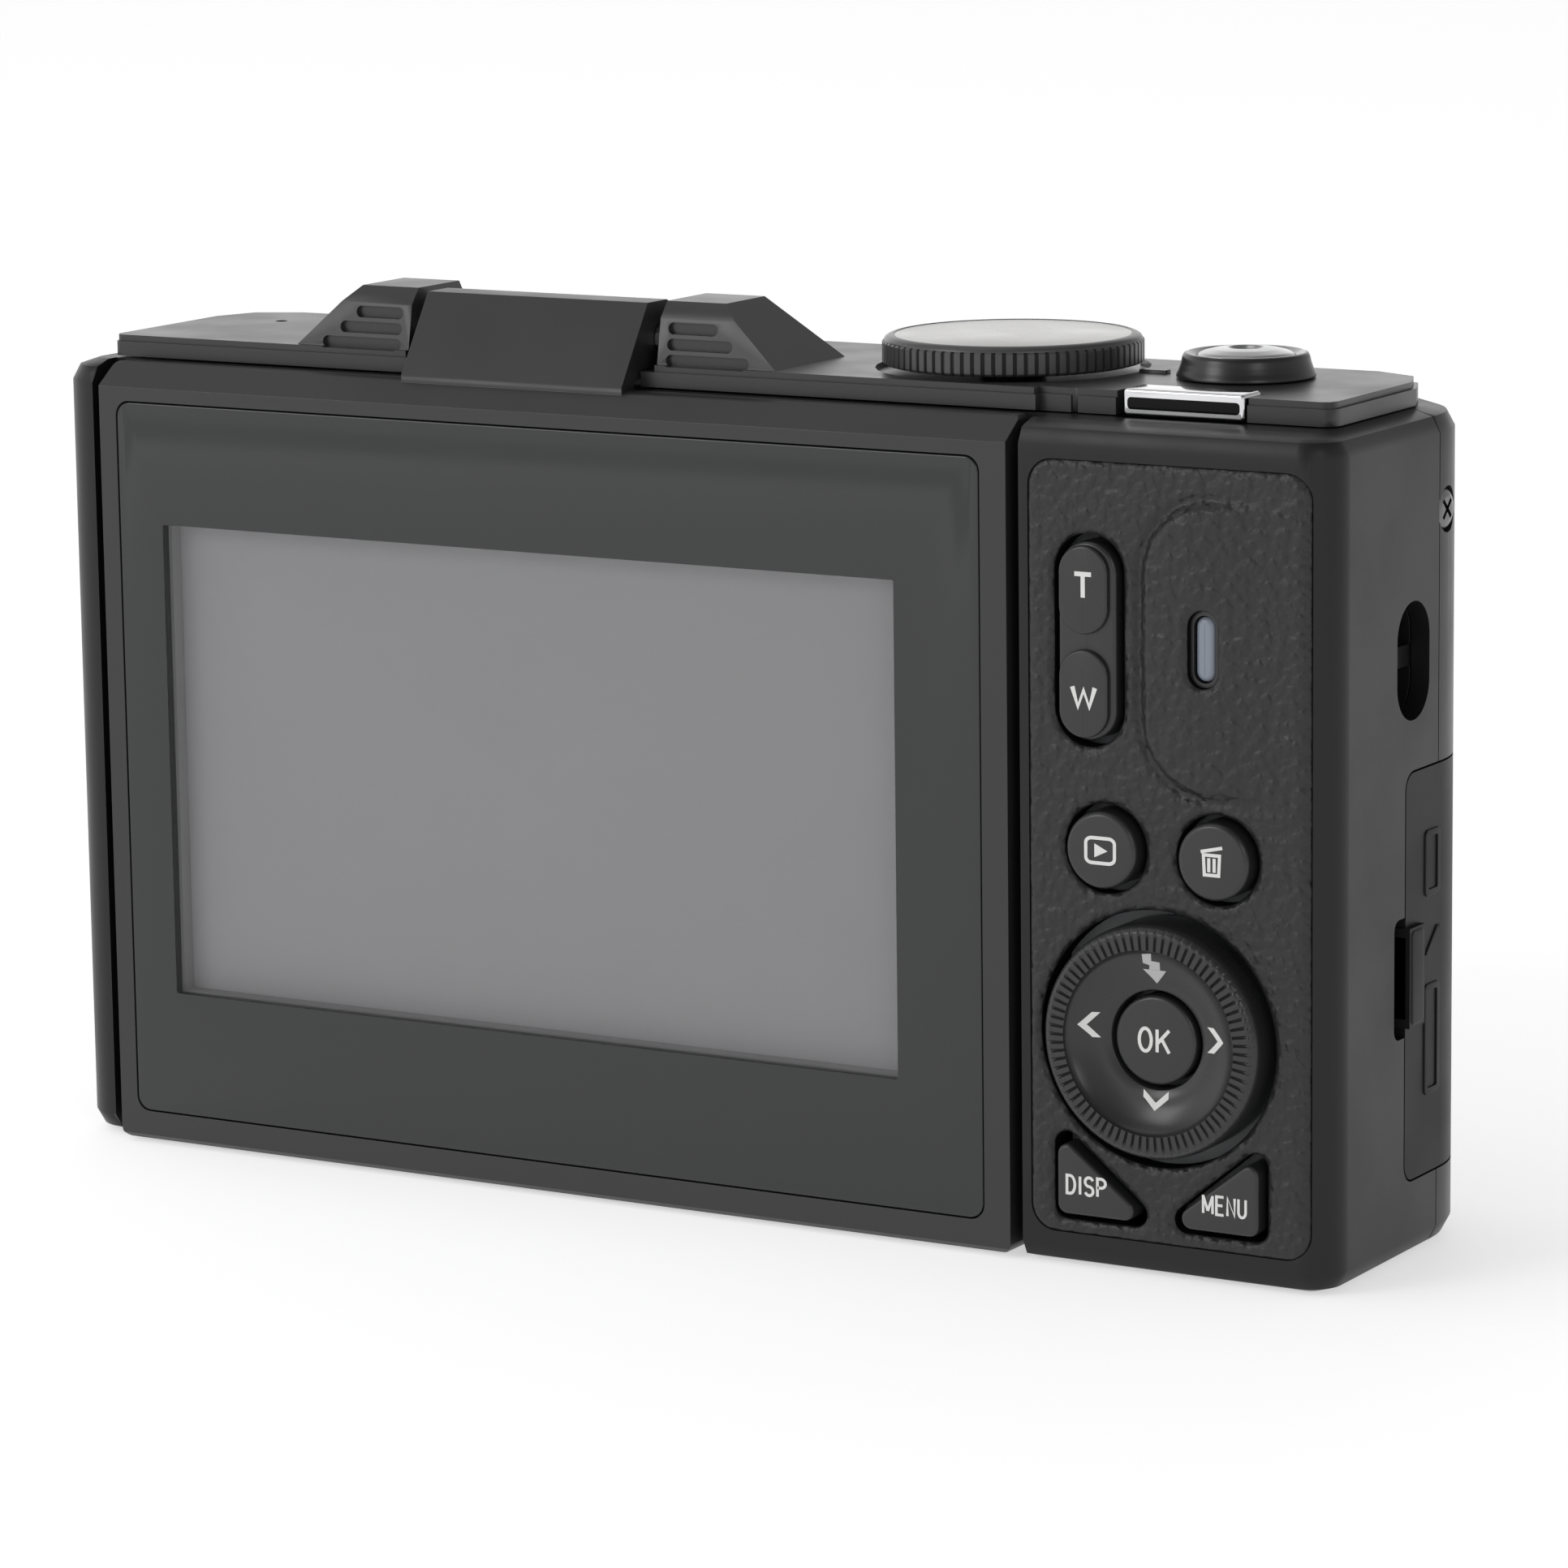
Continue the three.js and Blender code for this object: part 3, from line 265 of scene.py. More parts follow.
def pill(u, v, w, h, count=24):
    return rectangle(u - w / 2, u + w / 2, v - h / 2, v + h / 2, min(w, h) / 2 - 0.001, count)


def mitre(a, b, least):
    """Normal between two directions, and its share of each side's own normal."""
    across = Vector((-a.y, a.x))
    normal = Vector((-(a.y + b.y), a.x + b.x))
    normal = normal.normalized() if normal.length > 1e-6 else across
    return normal, max(least, normal.dot(across))


def inset(outline, distance):
    """The outline moved inwards along its own normals."""
    moved = []
    n = len(outline)
    for i in range(n):
        last, here, after = (Vector(outline[(i + k) % n]) for k in (-1, 0, 1))
        normal, share = mitre((here - last).normalized(), (after - here).normalized(), 0.5)
        stretch = 1 / share
        moved.append(tuple(here + normal * distance * stretch))
    return moved


# ---- mesh makers

def shade(mesh, angle=35):
    """Smooth shading that breaks at edges sharper than the angle."""
    for face in mesh.polygons:
        face.use_smooth = True
    mesh.set_sharp_from_angle(angle=math.radians(angle))


def linked(name, data):
    """A new object in the scene."""
    piece = bpy.data.objects.new(name, data)
    bpy.context.scene.collection.objects.link(piece)
    return piece


@contextmanager
def edited(mesh):
    """The mesh in its form for editing, written back at the end."""
    bm = bmesh.new()
    bm.from_mesh(mesh)
    yield bm
    bm.to_mesh(mesh)
    bm.free()


def new_mesh(name, points, faces, material):
    """A mesh from points in millimetres."""
    mesh = bpy.data.meshes.new(name)
    mesh.from_pydata([Vector(p) * MM for p in points], [], faces)
    mesh.materials.append(material)
    return mesh


def build(name, points, faces, material, angle=35):
    """A shaded piece from points in millimetres."""
    mesh = new_mesh(name, points, faces, material)
    with edited(mesh) as bm:
        bmesh.ops.remove_doubles(bm, verts=bm.verts, dist=1e-7)
        bmesh.ops.recalc_face_normals(bm, faces=bm.faces)
    shade(mesh, angle)
    return linked(name, mesh)


AXES = {"x": lambda r, s, h: (h, r, s), "y": lambda r, s, h: (r, h, s), "z": lambda r, s, h: (r, s, h)}
PLANES = {"xy": AXES["z"], "xz": AXES["y"], "yz": AXES["x"]}


def turned(name, profile, axis, centre, material, steps=128, closed=False, wobble=None, angle=35):
    """A lathe solid. profile holds (radius, height) pairs, and wobble(radius, height, angle) may shift
    both."""
    points, faces = [], []
    base = Vector(centre)
    count = len(profile)
    for i in range(steps):
        a = TAU * i / steps
        for r, h in profile:
            if wobble:
                r, h = wobble(r, h, a)
            points.append(base + Vector(AXES[axis](r * math.cos(a), r * math.sin(a), h)))
    rows = count if closed else count - 1
    for i in range(steps):
        near, far = i * count, ((i + 1) % steps) * count
        for k in range(rows):
            nxt = (k + 1) % count
            faces.append((near + k, near + nxt, far + nxt, far + k))
    return build(name, points, faces, material, angle)


def filleted(profile, r, count=5, closed=False):
    """A profile with all its inner corners rounded by up to r."""
    n = len(profile)
    rounded = []
    for i, here in enumerate(profile):
        if not closed and i in (0, n - 1):
            rounded.append(tuple(here))
            continue
        last, here, after = (Vector(profile[(i + k) % n]) for k in (-1, 0, 1))
        into, out = (here - last), (after - here)
        reach = min(r, into.length * 0.45, out.length * 0.45)
        start, end = here - into.normalized() * reach, here + out.normalized() * reach
        for k in range(count + 1):
            t = k / count
            rounded.append(tuple(start.lerp(here, t).lerp(here.lerp(end, t), t)))
    return rounded


def slab(name, outline, back, front, material, edge=0.0, plane="xz", rings=5):
    """A plate from back to front whose front edge is rounded. The outline lies in the plane."""
    way = math.copysign(1, front - back)
    levels = [(0.0, back)]
    if edge > 0:
        for k in range(rings + 1):
            a = math.pi / 2 * k / rings
            levels.append((edge * (1 - math.cos(a)), front - way * edge * (1 - math.sin(a))))
    else:
        levels.append((0.0, front))
    points, faces = [], []
    for step, depth in levels:
        points += [PLANES[plane](u, v, depth) for u, v in inset(outline, step)]
    count = len(outline)
    for start in range(0, len(points) - count, count):
        for i in range(count):
            j = (i + 1) % count
            faces.append((start + i, start + j, start + count + j, start + count + i))
    faces += [tuple(range(count))[::-1], tuple(range(len(points) - count, len(points)))]
    return build(name, points, faces, material)


def modified(piece, kind, **settings):
    """The piece with one modifier baked into its mesh."""
    step = piece.modifiers.new("step", kind)
    for key, value in settings.items():
        setattr(step, key, value)
    bpy.context.view_layer.update()
    graph = bpy.context.evaluated_depsgraph_get()
    mesh = bpy.data.meshes.new_from_object(piece.evaluated_get(graph))
    piece.modifiers.clear()
    piece.data = mesh
    return piece


def carve(piece, cutter, operation="DIFFERENCE", angle=35):
    """Cuts a closed cutter out of the piece, or keeps what lies in it, and removes the cutter."""
    modified(piece, "BOOLEAN", operation=operation, solver="EXACT", object=cutter)
    bpy.data.objects.remove(cutter)
    shade(piece.data, angle)
    return piece


def refined(node, material, width):
    """A finer copy of a CAD node: flat faces are merged and edges rounded. It replaces the node."""
    mesh = frame["nodes"][node].data.copy()
    with edited(mesh) as bm:
        bmesh.ops.remove_doubles(bm, verts=bm.verts, dist=2e-6)
        bmesh.ops.dissolve_limit(bm, angle_limit=math.radians(0.7), verts=bm.verts, edges=bm.edges)
    mesh.materials.clear()
    mesh.materials.append(material)
    piece = linked(node + "_fine", mesh)
    shade(mesh)
    modified(piece, "BEVEL", width=width * MM, segments=2, limit_method="ANGLE",
             angle_limit=math.radians(38), miter_outer="MITER_ARC", harden_normals=False)
    shade(piece.data, 40)
    return stands_for(modified(piece, "WEIGHTED_NORMAL", keep_sharp=True), node)


def stands_for(piece, *nodes):
    """The piece rides on its nodes' body and hides them."""
    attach(piece, BODY_OF[nodes[0]])
    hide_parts(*nodes)
    return piece


def trim(piece, body):
    """An added detail that rides on a body."""
    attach(piece, body)
    return piece


# ---- printed marks

def ribbon(points, width, closed=False):
    """Left and right edges of a stroke of constant width along points."""
    n = len(points)
    left, right = [], []
    for i in range(n):
        here = Vector(points[i])
        last = Vector(points[i - 1]) if (i > 0 or closed) else None
        after = Vector(points[(i + 1) % n]) if (i < n - 1 or closed) else None
        a = (here - last).normalized() if last is not None else (after - here).normalized()
        b = (after - here).normalized() if after is not None else a
        normal, share = mitre(a, b, 0.7)
        reach = width / 2 / share
        left.append(here + normal * reach)
        right.append(here - normal * reach)
    return left, right


def marks(name, strokes, centre, size, width, surface, body, fills=(), bands=(), material=print_white):
    """Printed strokes, filled outlines, and bands given by their two edges, all in a unit square. A
    stroke that ends where it starts is closed. surface(u, v) is the depth of the printed face."""
    points, faces = [], []
    lift, layer = 0.012, 0.002      # height of the ink over the face, and of each stroke over the last
    shares = [i / 5 for i in range(5)]      # where each straight edge of a band is cut

    def placed(line):
        return [(centre[0] + (u - 0.5) * size[0], centre[1] + (v - 0.5) * size[1]) for u, v in line]

    def add(outline, cells, height):
        start = len(points)
        points.extend((u, surface(u, v) - height, v) for u, v in outline)
        faces.extend(tuple(start + i for i in cell) for cell in cells)

    for index, path in enumerate(strokes):
        closed = math.dist(path[0], path[-1]) < 1e-6
        path = path[:-1] if closed else path
        left, right = ribbon(placed(path), width, closed)
        n = len(path)
        cells = [(i, (i + 1) % n, n + (i + 1) % n, n + i) for i in range(n if closed else n - 1)]
        add(left + right, cells, lift + layer * index)
    for edges in bands:
        sides = []
        for line in edges:
            fine = [Vector(a).lerp(Vector(b), t) for a, b in zip(line, line[1:]) for t in shares]
            sides.append(placed(fine + [line[-1]]))
        n = len(sides[0])
        add(sides[0] + sides[1], [(i, i + 1, n + i + 1, n + i) for i in range(n - 1)], lift)
    for index, outline in enumerate(fills, len(strokes)):
        add(placed(outline), [tuple(range(len(outline)))], lift + layer * index)
    mesh = new_mesh(name, points, faces, material)
    with edited(mesh) as bm:
        for face in bm.faces:
            face.normal_update()
            if face.normal.y > 0:
                face.normal_flip()
    piece = modified(linked(name, mesh), "SOLIDIFY", thickness=0.03 * MM, offset=-1)
    return trim(piece, body)


LETTERS = {
    "T": [[(0, 1), (1, 1)], [(0.5, 1), (0.5, 0)]],
    "W": [[(0, 1), (0.25, 0), (0.5, 0.85), (0.75, 0), (1, 1)]],
    "O": [arc(0.5, 0.5, 0.5, 0.5, 0, 360, 24)],
    "K": [[(0, 1), (0, 0)], [(1, 1), (0.05, 0.4)], [(0.38, 0.6), (1, 0)]],
    "D": [[(0, 0), (0, 1), (0.4, 1)] + arc(0.4, 0.5, 0.6, 0.5, 75, -75) + [(0.4, 0), (0, 0)]],
    "I": [[(0.5, 1), (0.5, 0)]],
    "S": [arc(0.5, 0.75, 0.5, 0.25, 20, 270) + arc(0.5, 0.25, 0.5, 0.25, 80, -160)],
    "P": [[(0, 0), (0, 1), (0.45, 1)] + arc(0.45, 0.75, 0.55, 0.25, 80, -80, 8) + [(0.45, 0.5), (0, 0.5)]],
    "M": [[(0, 0), (0, 1)], [(0, 0.98), (0.5, 0.15)], [(0.5, 0.15), (1, 0.98)], [(1, 1), (1, 0)]],
    "E": [[(1, 1), (0, 1), (0, 0), (1, 0)], [(0, 0.52), (0.85, 0.52)]],
    "N": [[(0, 0), (0, 1), (1, 0), (1, 1)]],
    "U": [[(0, 1), (0, 0.3)] + arc(0.5, 0.3, 0.5, 0.3, 190, 350) + [(1, 0.3), (1, 1)]],
}
WIDTHS = {"I": 0.12, "M": 0.82}
USUAL_WIDTH = 0.62


def word(text, gap=0.32):
    """Strokes of a short word, scaled into the unit square."""
    widths = [WIDTHS.get(letter, USUAL_WIDTH) for letter in text]
    total = sum(widths) + gap * (len(text) - 1)
    strokes, at = [], 0.0
    for letter, wide in zip(text, widths):
        strokes += [[((at + u * wide) / total, v) for u, v in path] for path in LETTERS[letter]]
        at += wide + gap
    return strokes


# ---- covers

COVERS = {
    "rear_cover": (body_plastic, 0.22), "front_cover": (body_plastic, 0.25),
    "top_cover": (top_plastic, 0.16),
    "screen_frame": (bezel_plastic, 0.16), "screen_back_cover": (body_plastic, 0.2),
    "battery_door": (body_plastic, 0.15), "door_latch": (key_plastic, 0.12),
    "strap_anchor": (body_plastic, 0.2),
}


def covers():
    """The moulded covers: the CAD's shapes with rounded edges."""
    for node, (material, width) in COVERS.items():
        refined(node, material, width)


# ---- screen

WINDOW = (-45.33, 20.78, 12.7, 50.45)      # the display's opening in the dark border


def screen():
    """Black-bordered touch glass with a smoked pane in it, and the bright display set back behind."""
    low, high = corners("touch_glass")
    rear, back = low.y, high.y
    window = rectangle(*WINDOW, 0.15, 3)
    border = slab("touch_glass_border", front_of(low, high, 1.2, 12), back, rear, screen_mask, edge=0.12)
    carve(border, slab("hole", window, back + 1, rear - 1, screen_mask))
    stands_for(border, "touch_glass")
    trim(slab("display_pane", window, rear + 0.3, rear, smoked_pane), "screen")
    low, high = corners("lcd_panel")
    panel = slab("lcd_panel_fine", front_of(low, high, 0.4, 4), high.y, low.y, display, edge=0.1)
    stands_for(panel, "lcd_panel")
    x0, x1, z0, z1 = WINDOW
    bright = rectangle(x0 + 0.28, x1 - 0.15, z0 + 0.15, z1 - 0.15, 0.15, 3)
    surround = slab("display_surround", rectangle(x0 - 1.2, x1 + 1.2, z0 - 1.2, z1 + 1.2, 0.5, 4),
                    low.y - 0.02, back + 0.02, screen_gasket)
    carve(surround, slab("hole", bright, low.y + 1, rear - 1, screen_gasket))
    trim(surround, "screen")


# ---- rear leather pad

PAD_LOW, PAD_HIGH = corners("rear_grip_pad")
REAR = corners("touch_glass")[0].y
PAD_CORNER_R = 3.0
BODY_SIDE = corners("rear_cover")[1].x
ROCKER, PLAY, ERASE = (middle(node) for node in ("zoom_rocker", "play_button", "erase_button"))
WHEEL, GUIDE = middle("ok_button"), middle("status_led")
HOLES = {
    "rocker": (ROCKER.x, 47.1, 5.9, 15.9), "play": (PLAY.x, PLAY.z, 6.9, 6.9),
    "erase": (ERASE.x, ERASE.z, 6.9, 6.9), "wheel": (WHEEL.x, WHEEL.z, 19.4, 19.4),
    "led": (GUIDE.x, GUIDE.z, 2.6, 5.9),
}
KEY_CORNERS = [(34.5, 4.2), (42.3, 4.2), (34.5, 10.35)]
KEY_MIRROR = 42.75
THUMB = {"x": 41.6, "z0": 36.4, "z1": 57.6, "r": 5.5, "height": 0.55, "fade": (44.5, 53.5)}
CREASE_DEPTH, CREASE_AT, CREASE_WIDTH = 0.24, 0.45, 0.3     # the fold round the thumb rest
ROLL_DROP, ROLL_WIDTH = 0.24, 0.55                          # how the leather's edges roll down
LAP = 0.16                                                  # how far the leather laps over the CAD pad


def corner_key(grow, mirrored=False):
    """Outline of the triangular key at the bottom left, or of its mirror image."""
    (x0, z0), (x1, _), (_, z1) = KEY_CORNERS
    points = [(x0 - grow, z0 - grow), (x1 + 2.2 * grow, z0 - grow), (x0 - grow, z1 + 2.2 * grow)]
    outline = rounded_polygon(points, 0.8 + 0.4 * grow, 12)
    if mirrored:
        outline = [(2 * KEY_MIRROR - x, z) for x, z in outline][::-1]
    return outline


def smooth(t):
    """A soft step from 0 to 1."""
    t = max(0.0, min(1.0, t))
    return t * t * (3 - 2 * t)


def from_box(u, v, u0, u1, v0, v1, r):
    """Distance from a rounded rectangle, negative inside it."""
    du = abs(u - (u0 + u1) / 2) - (u1 - u0) / 2 + r
    dv = abs(v - (v0 + v1) / 2) - (v1 - v0) / 2 + r
    return math.hypot(max(du, 0), max(dv, 0)) + min(max(du, dv), 0) - r


def from_pill(u, v, cu, cv, w, h):
    r = min(w, h) / 2
    return from_box(u, v, cu - w / 2, cu + w / 2, cv - h / 2, cv + h / 2, r)


def from_outline(outline, u, v):
    """Distance from a closed outline, negative inside it. Far away it is only a lower bound."""
    us, vs = [p[0] for p in outline], [p[1] for p in outline]
    clear = max(min(us) - u, u - max(us), min(vs) - v, v - max(vs))
    if clear > 1:
        return clear
    best, inside = 1e9, False
    for (ax, ay), (bx, by) in zip(outline, outline[1:] + outline[:1]):
        dx, dy = bx - ax, by - ay
        t = max(0.0, min(1.0, ((u - ax) * dx + (v - ay) * dy) / max(dx * dx + dy * dy, 1e-12)))
        best = min(best, math.hypot(u - ax - t * dx, v - ay - t * dy))
        if (ay > v) != (by > v) and u < ax + (v - ay) / (by - ay) * dx:
            inside = not inside
    return -best if inside else best


def resampled(outline, step):
    """Points spaced evenly along a closed outline."""
    ends = outline[1:] + outline[:1]
    lengths = [math.dist(a, b) for a, b in zip(outline, ends)]
    count = max(8, round(sum(lengths) / step))
    spacing, travelled, points = sum(lengths) / count, 0.0, []
    for a, b, span in zip(outline, ends, lengths):
        while len(points) < count and travelled + span >= spacing * len(points):
            t = (spacing * len(points) - travelled) / max(span, 1e-9)
            points.append((a[0] + (b[0] - a[0]) * t, a[1] + (b[1] - a[1]) * t))
        travelled += span
    return points


def pebbles(u, v, seed):
    """Height of the leather's grain, 0 to 1: rounded pebbles between fine creases."""
    place = Vector((u * 0.62, v * 0.85, seed))
    place += noise.noise_vector(place * 0.9) * 0.35
    near = noise.voronoi(place, distance_metric="DISTANCE", exponent=2.5)[0]
    crease = min(1.0, (near[1] - near[0]) * 2.6)
    return math.sqrt(crease) * (0.75 + 0.25 * noise.noise(place * 3.1))


def sheet(name, border, holes, margin, height, place, material, under):
    """A thin sheet with exact holes. margin(u, v) is the distance from its nearest edge, and
    place(u, v, lift) puts a point of the flat pattern in space."""
    step = 0.24
    rings = (0.0, 0.08, 0.2, 0.36, 0.56)
    edges, points = [], []
    for outline, way in [(border, 1)] + [(hole, -1) for hole in holes]:
        for offset in rings:
            line = resampled(inset(outline, way * offset), step)
            if offset == 0:
                first = len(points)
                edges += [(first + i, first + (i + 1) % len(line)) for i in range(len(line))]
            points += [p for p in line if offset == 0 or abs(margin(*p) - offset) < 0.04]
    us, vs = [p[0] for p in border], [p[1] for p in border]
    columns, rows = round((max(us) - min(us)) / step), round((max(vs) - min(vs)) / step)
    for i in range(columns + 1):
        for k in range(rows + 1):
            u = min(us) + step * (i + 0.5 * (k % 2))
            v = min(vs) + step * k
            if margin(u, v) > rings[-1] + 0.4 * step:
                points.append((u, v))
    net = geometry.delaunay_2d_cdt([Vector(p) for p in points], edges, [], 0, 1e-6)
    flat = [(p.x, p.y) for p in net[0]]
    faces = []
    for face in net[2]:
        cu, cv = (sum(flat[i][axis] for i in face) / len(face) for axis in (0, 1))
        if margin(cu, cv) > 0:
            faces.append(tuple(face))
    count = len(flat)
    skin = [place(u, v, height(u, v, max(0.0, margin(u, v)))) for u, v in flat]
    skin += [place(u, v, under) for u, v in flat]
    sides = {}
    for face in faces:
        for a, b in zip(face, face[1:] + face[:1]):
            sides[frozenset((a, b))] = sides.get(frozenset((a, b)), 0) + 1
    rim = [tuple(side) for side, uses in sides.items() if uses == 1]
    walls = [(a, b, b + count, a + count) for a, b in rim]
    floor = [tuple(i + count for i in reversed(face)) for face in faces]
    piece = build(name, skin, faces + floor + walls, material, 60)
    # The walls round the holes take the near-black deep_shade: painted shade inside the holes.
    piece.data.materials.append(deep_shade)
    for face in piece.data.polygons[len(faces) + len(floor):]:
        face.material_index = 1
    return piece


def rear_pad():
    """The leather round the rear keys, which bends round the corner of the body beyond `flat`."""
    flat = BODY_SIDE - PAD_CORNER_R - PAD_LOW.x
    sweep = math.asin((PAD_HIGH.x - BODY_SIDE + PAD_CORNER_R) / PAD_CORNER_R)
    u0, u1 = -LAP, flat + PAD_CORNER_R * sweep + LAP
    z0, z1 = PAD_LOW.z - LAP, PAD_HIGH.z + LAP
    border = rectangle(u0, u1, z0, z1, 2.0, 12)
    shift = PAD_LOW.x
    pills = [(cu - shift, cv, w - 0.2, h - 0.2) for cu, cv, w, h in HOLES.values()]
    keys = [[(x - shift, z) for x, z in corner_key(0.5, side)] for side in (False, True)]
    holes = [pill(*values, 40) for values in pills] + keys

    def margin(u, v):
        gaps = [from_pill(u, v, *values) for values in pills] + [from_outline(key, u, v) for key in keys]
        return min(-from_box(u, v, u0, u1, z0, z1, 2.0), *gaps)

    def height(u, v, edge):
        x = u + shift
        depth = -from_box(x, v, THUMB["x"], 90, THUMB["z0"], THUMB["z1"], THUMB["r"])
        fade = 1 - smooth((x - THUMB["fade"][0]) / (THUMB["fade"][1] - THUMB["fade"][0]))
        rise = THUMB["height"] * smooth(depth / 0.9 + 0.4) * fade
        rise -= CREASE_DEPTH * fade * math.exp(-((depth + CREASE_AT) / CREASE_WIDTH) ** 2)
        roll = max(0.0, 1 - edge / ROLL_WIDTH)
        rise -= ROLL_DROP * roll * roll
        return 0.1 + rise + (0.1 * pebbles(u, v, 3.7) - 0.065) * smooth((edge - 0.15) / 0.9)

    def place(u, v, lift):
        if u <= flat:
            return (shift + u, REAR - lift, v)
        a, r = (u - flat) / PAD_CORNER_R, PAD_CORNER_R + lift
        return (BODY_SIDE - PAD_CORNER_R + r * math.sin(a), REAR + PAD_CORNER_R - r * math.cos(a), v)

    pad = sheet("rear_leather", border, holes, margin, height, place, leather, -1.7)
    stands_for(pad, "rear_grip_pad")


# ---- rear keys

KEY_BACK = -15.2        # inner end of the keys
# How far the faces stand out of the rear plane.
PROUD = {"rocker": 0.3, "island": 0.72, "round": 0.85, "corner": 0.6, "ok": 0.3}


def key(node, outline, proud, edge):
    """A key with a rounded face that stands out of the rear plane."""
    piece = slab(node + "_fine", outline, KEY_BACK, REAR - proud, key_plastic, edge=edge)
    stands_for(piece, node)


def rear_keys():
    """Keys, control pad and status light of the right-hand panel."""
    rx, rz, wx, wz = ROCKER.x, HOLES["rocker"][1], WHEEL.x, WHEEL.z
    key("zoom_rocker", pill(rx, rz, 4.75, 14.6), PROUD["rocker"], 0.35)
    for name, z in (("tele", rz + 3.78), ("wide", rz - 3.85)):
        outline = pill(rx - 0.15, z, 4.0, 6.5)
        island = slab("rocker_island_" + name, outline, REAR, REAR - PROUD["island"], key_plastic, edge=0.22)
        trim(island, "zoom_rocker")
    key("play_button", circle(PLAY.x, PLAY.z, 2.87), PROUD["round"], 0.42)
    key("erase_button", circle(ERASE.x, ERASE.z, 2.87), PROUD["round"], 0.42)
    key("display_button", corner_key(0), PROUD["corner"], 0.3)
    key("menu_button", corner_key(0, True), PROUD["corner"], 0.3)
    key("ok_button", circle(wx, wz, 3.34), PROUD["ok"], 0.35)
    control_pad(wx, wz)
    key_prints(rx, rz, wx, wz)
    lx, lz, wide, tall = HOLES["led"]
    well = slab("led_well", pill(lx, lz, wide - 0.25, tall - 0.25), -16.6, REAR, bezel_plastic, edge=0.05)
    carve(well, slab("hole", pill(lx, lz, 1.75, 4.95), -15, REAR - 1, bezel_plastic))
    trim(well, "body")
    guide = slab("light_guide", pill(lx, lz, 1.6, 4.8), -15.0, REAR, light_guide, edge=0.5, rings=8)
    stands_for(guide, "status_led")


PAD_RIBS = 76
RIB_IN, RIB_OUT, CROWN = 6.94, 8.15, 1.6
DISH = [(3.7, 0.08), (4.6, 0.16), (5.4, 0.42), (6.1, 0.78), (6.6, 1.1), (6.94, 1.4)]


def groove(a, ribs, land, slope):
    """Depth from 0 to 1 of the groove between ribs at an angle. land and slope are shares of a rib."""
    phase = (a * ribs / TAU) % 1.0
    return smooth((abs(phase - 0.5) - land) / slope)


def dish_depth(r):
    """How far the control pad's face stands out of the rear plane at a radius."""
    for (r0, h0), (r1, h1) in zip(DISH, DISH[1:]):
        if r <= r1:
            return h0 + (h1 - h0) * max(0.0, (r - r0)) / (r1 - r0)
    return CROWN


def control_pad(x, z):
    """Four-way pad: dished face, a ring of radial ribs on the crown and a bevelled rim."""
    profile = [(3.7, -16.2), (3.7, REAR), (3.78, REAR - 0.1)]
    profile += [(r, REAR - h) for r, h in DISH[1:-1]]
    ribs = [RIB_IN, RIB_IN + 0.08, RIB_IN + 0.2, 7.4, 7.8, RIB_OUT - 0.16, RIB_OUT]
    profile += [(RIB_IN - 0.06, REAR - 1.38)] + [(r, REAR - CROWN) for r in ribs]
    profile += [(8.3, REAR - CROWN + 0.05), (8.5, REAR - 1.38), (8.66, REAR - 1.1), (8.75, REAR - 0.7)]
    profile += [(8.75, KEY_BACK), (8.0, KEY_BACK), (8.0, -16.2)]

    def ribbed(r, h, a):
        if RIB_IN + 0.05 < r < RIB_OUT + 0.3 and h < REAR - 1.2:
            fade = 1.0 if r < RIB_OUT else 0.4
            return r, h + 0.18 * groove(a, PAD_RIBS, 0.33, 0.1) * fade
        return r, h

    wheel = turned("control_pad_fine", profile, "y", (x, 0, z), key_plastic, PAD_RIBS * 10, closed=True,
                   wobble=ribbed, angle=50)
    stands_for(wheel, "control_pad")


CHEVRON = 0.38          # thickness of a chevron's arms, as a share of its width


def chevron(side):
    """Two arms of a chevron that points along `side`, cut off square to its opening."""
    k = CHEVRON
    arms = [(((0, 0.5), (1 - k, end)), ((k, 0.5), (1, end))) for end in (0, 1)]
    turns = {"left": lambda u, v: (u, v), "right": lambda u, v: (1 - u, v), "down": lambda u, v: (v, u)}
    return [[[turns[side](*p) for p in line] for line in arm] for arm in arms]


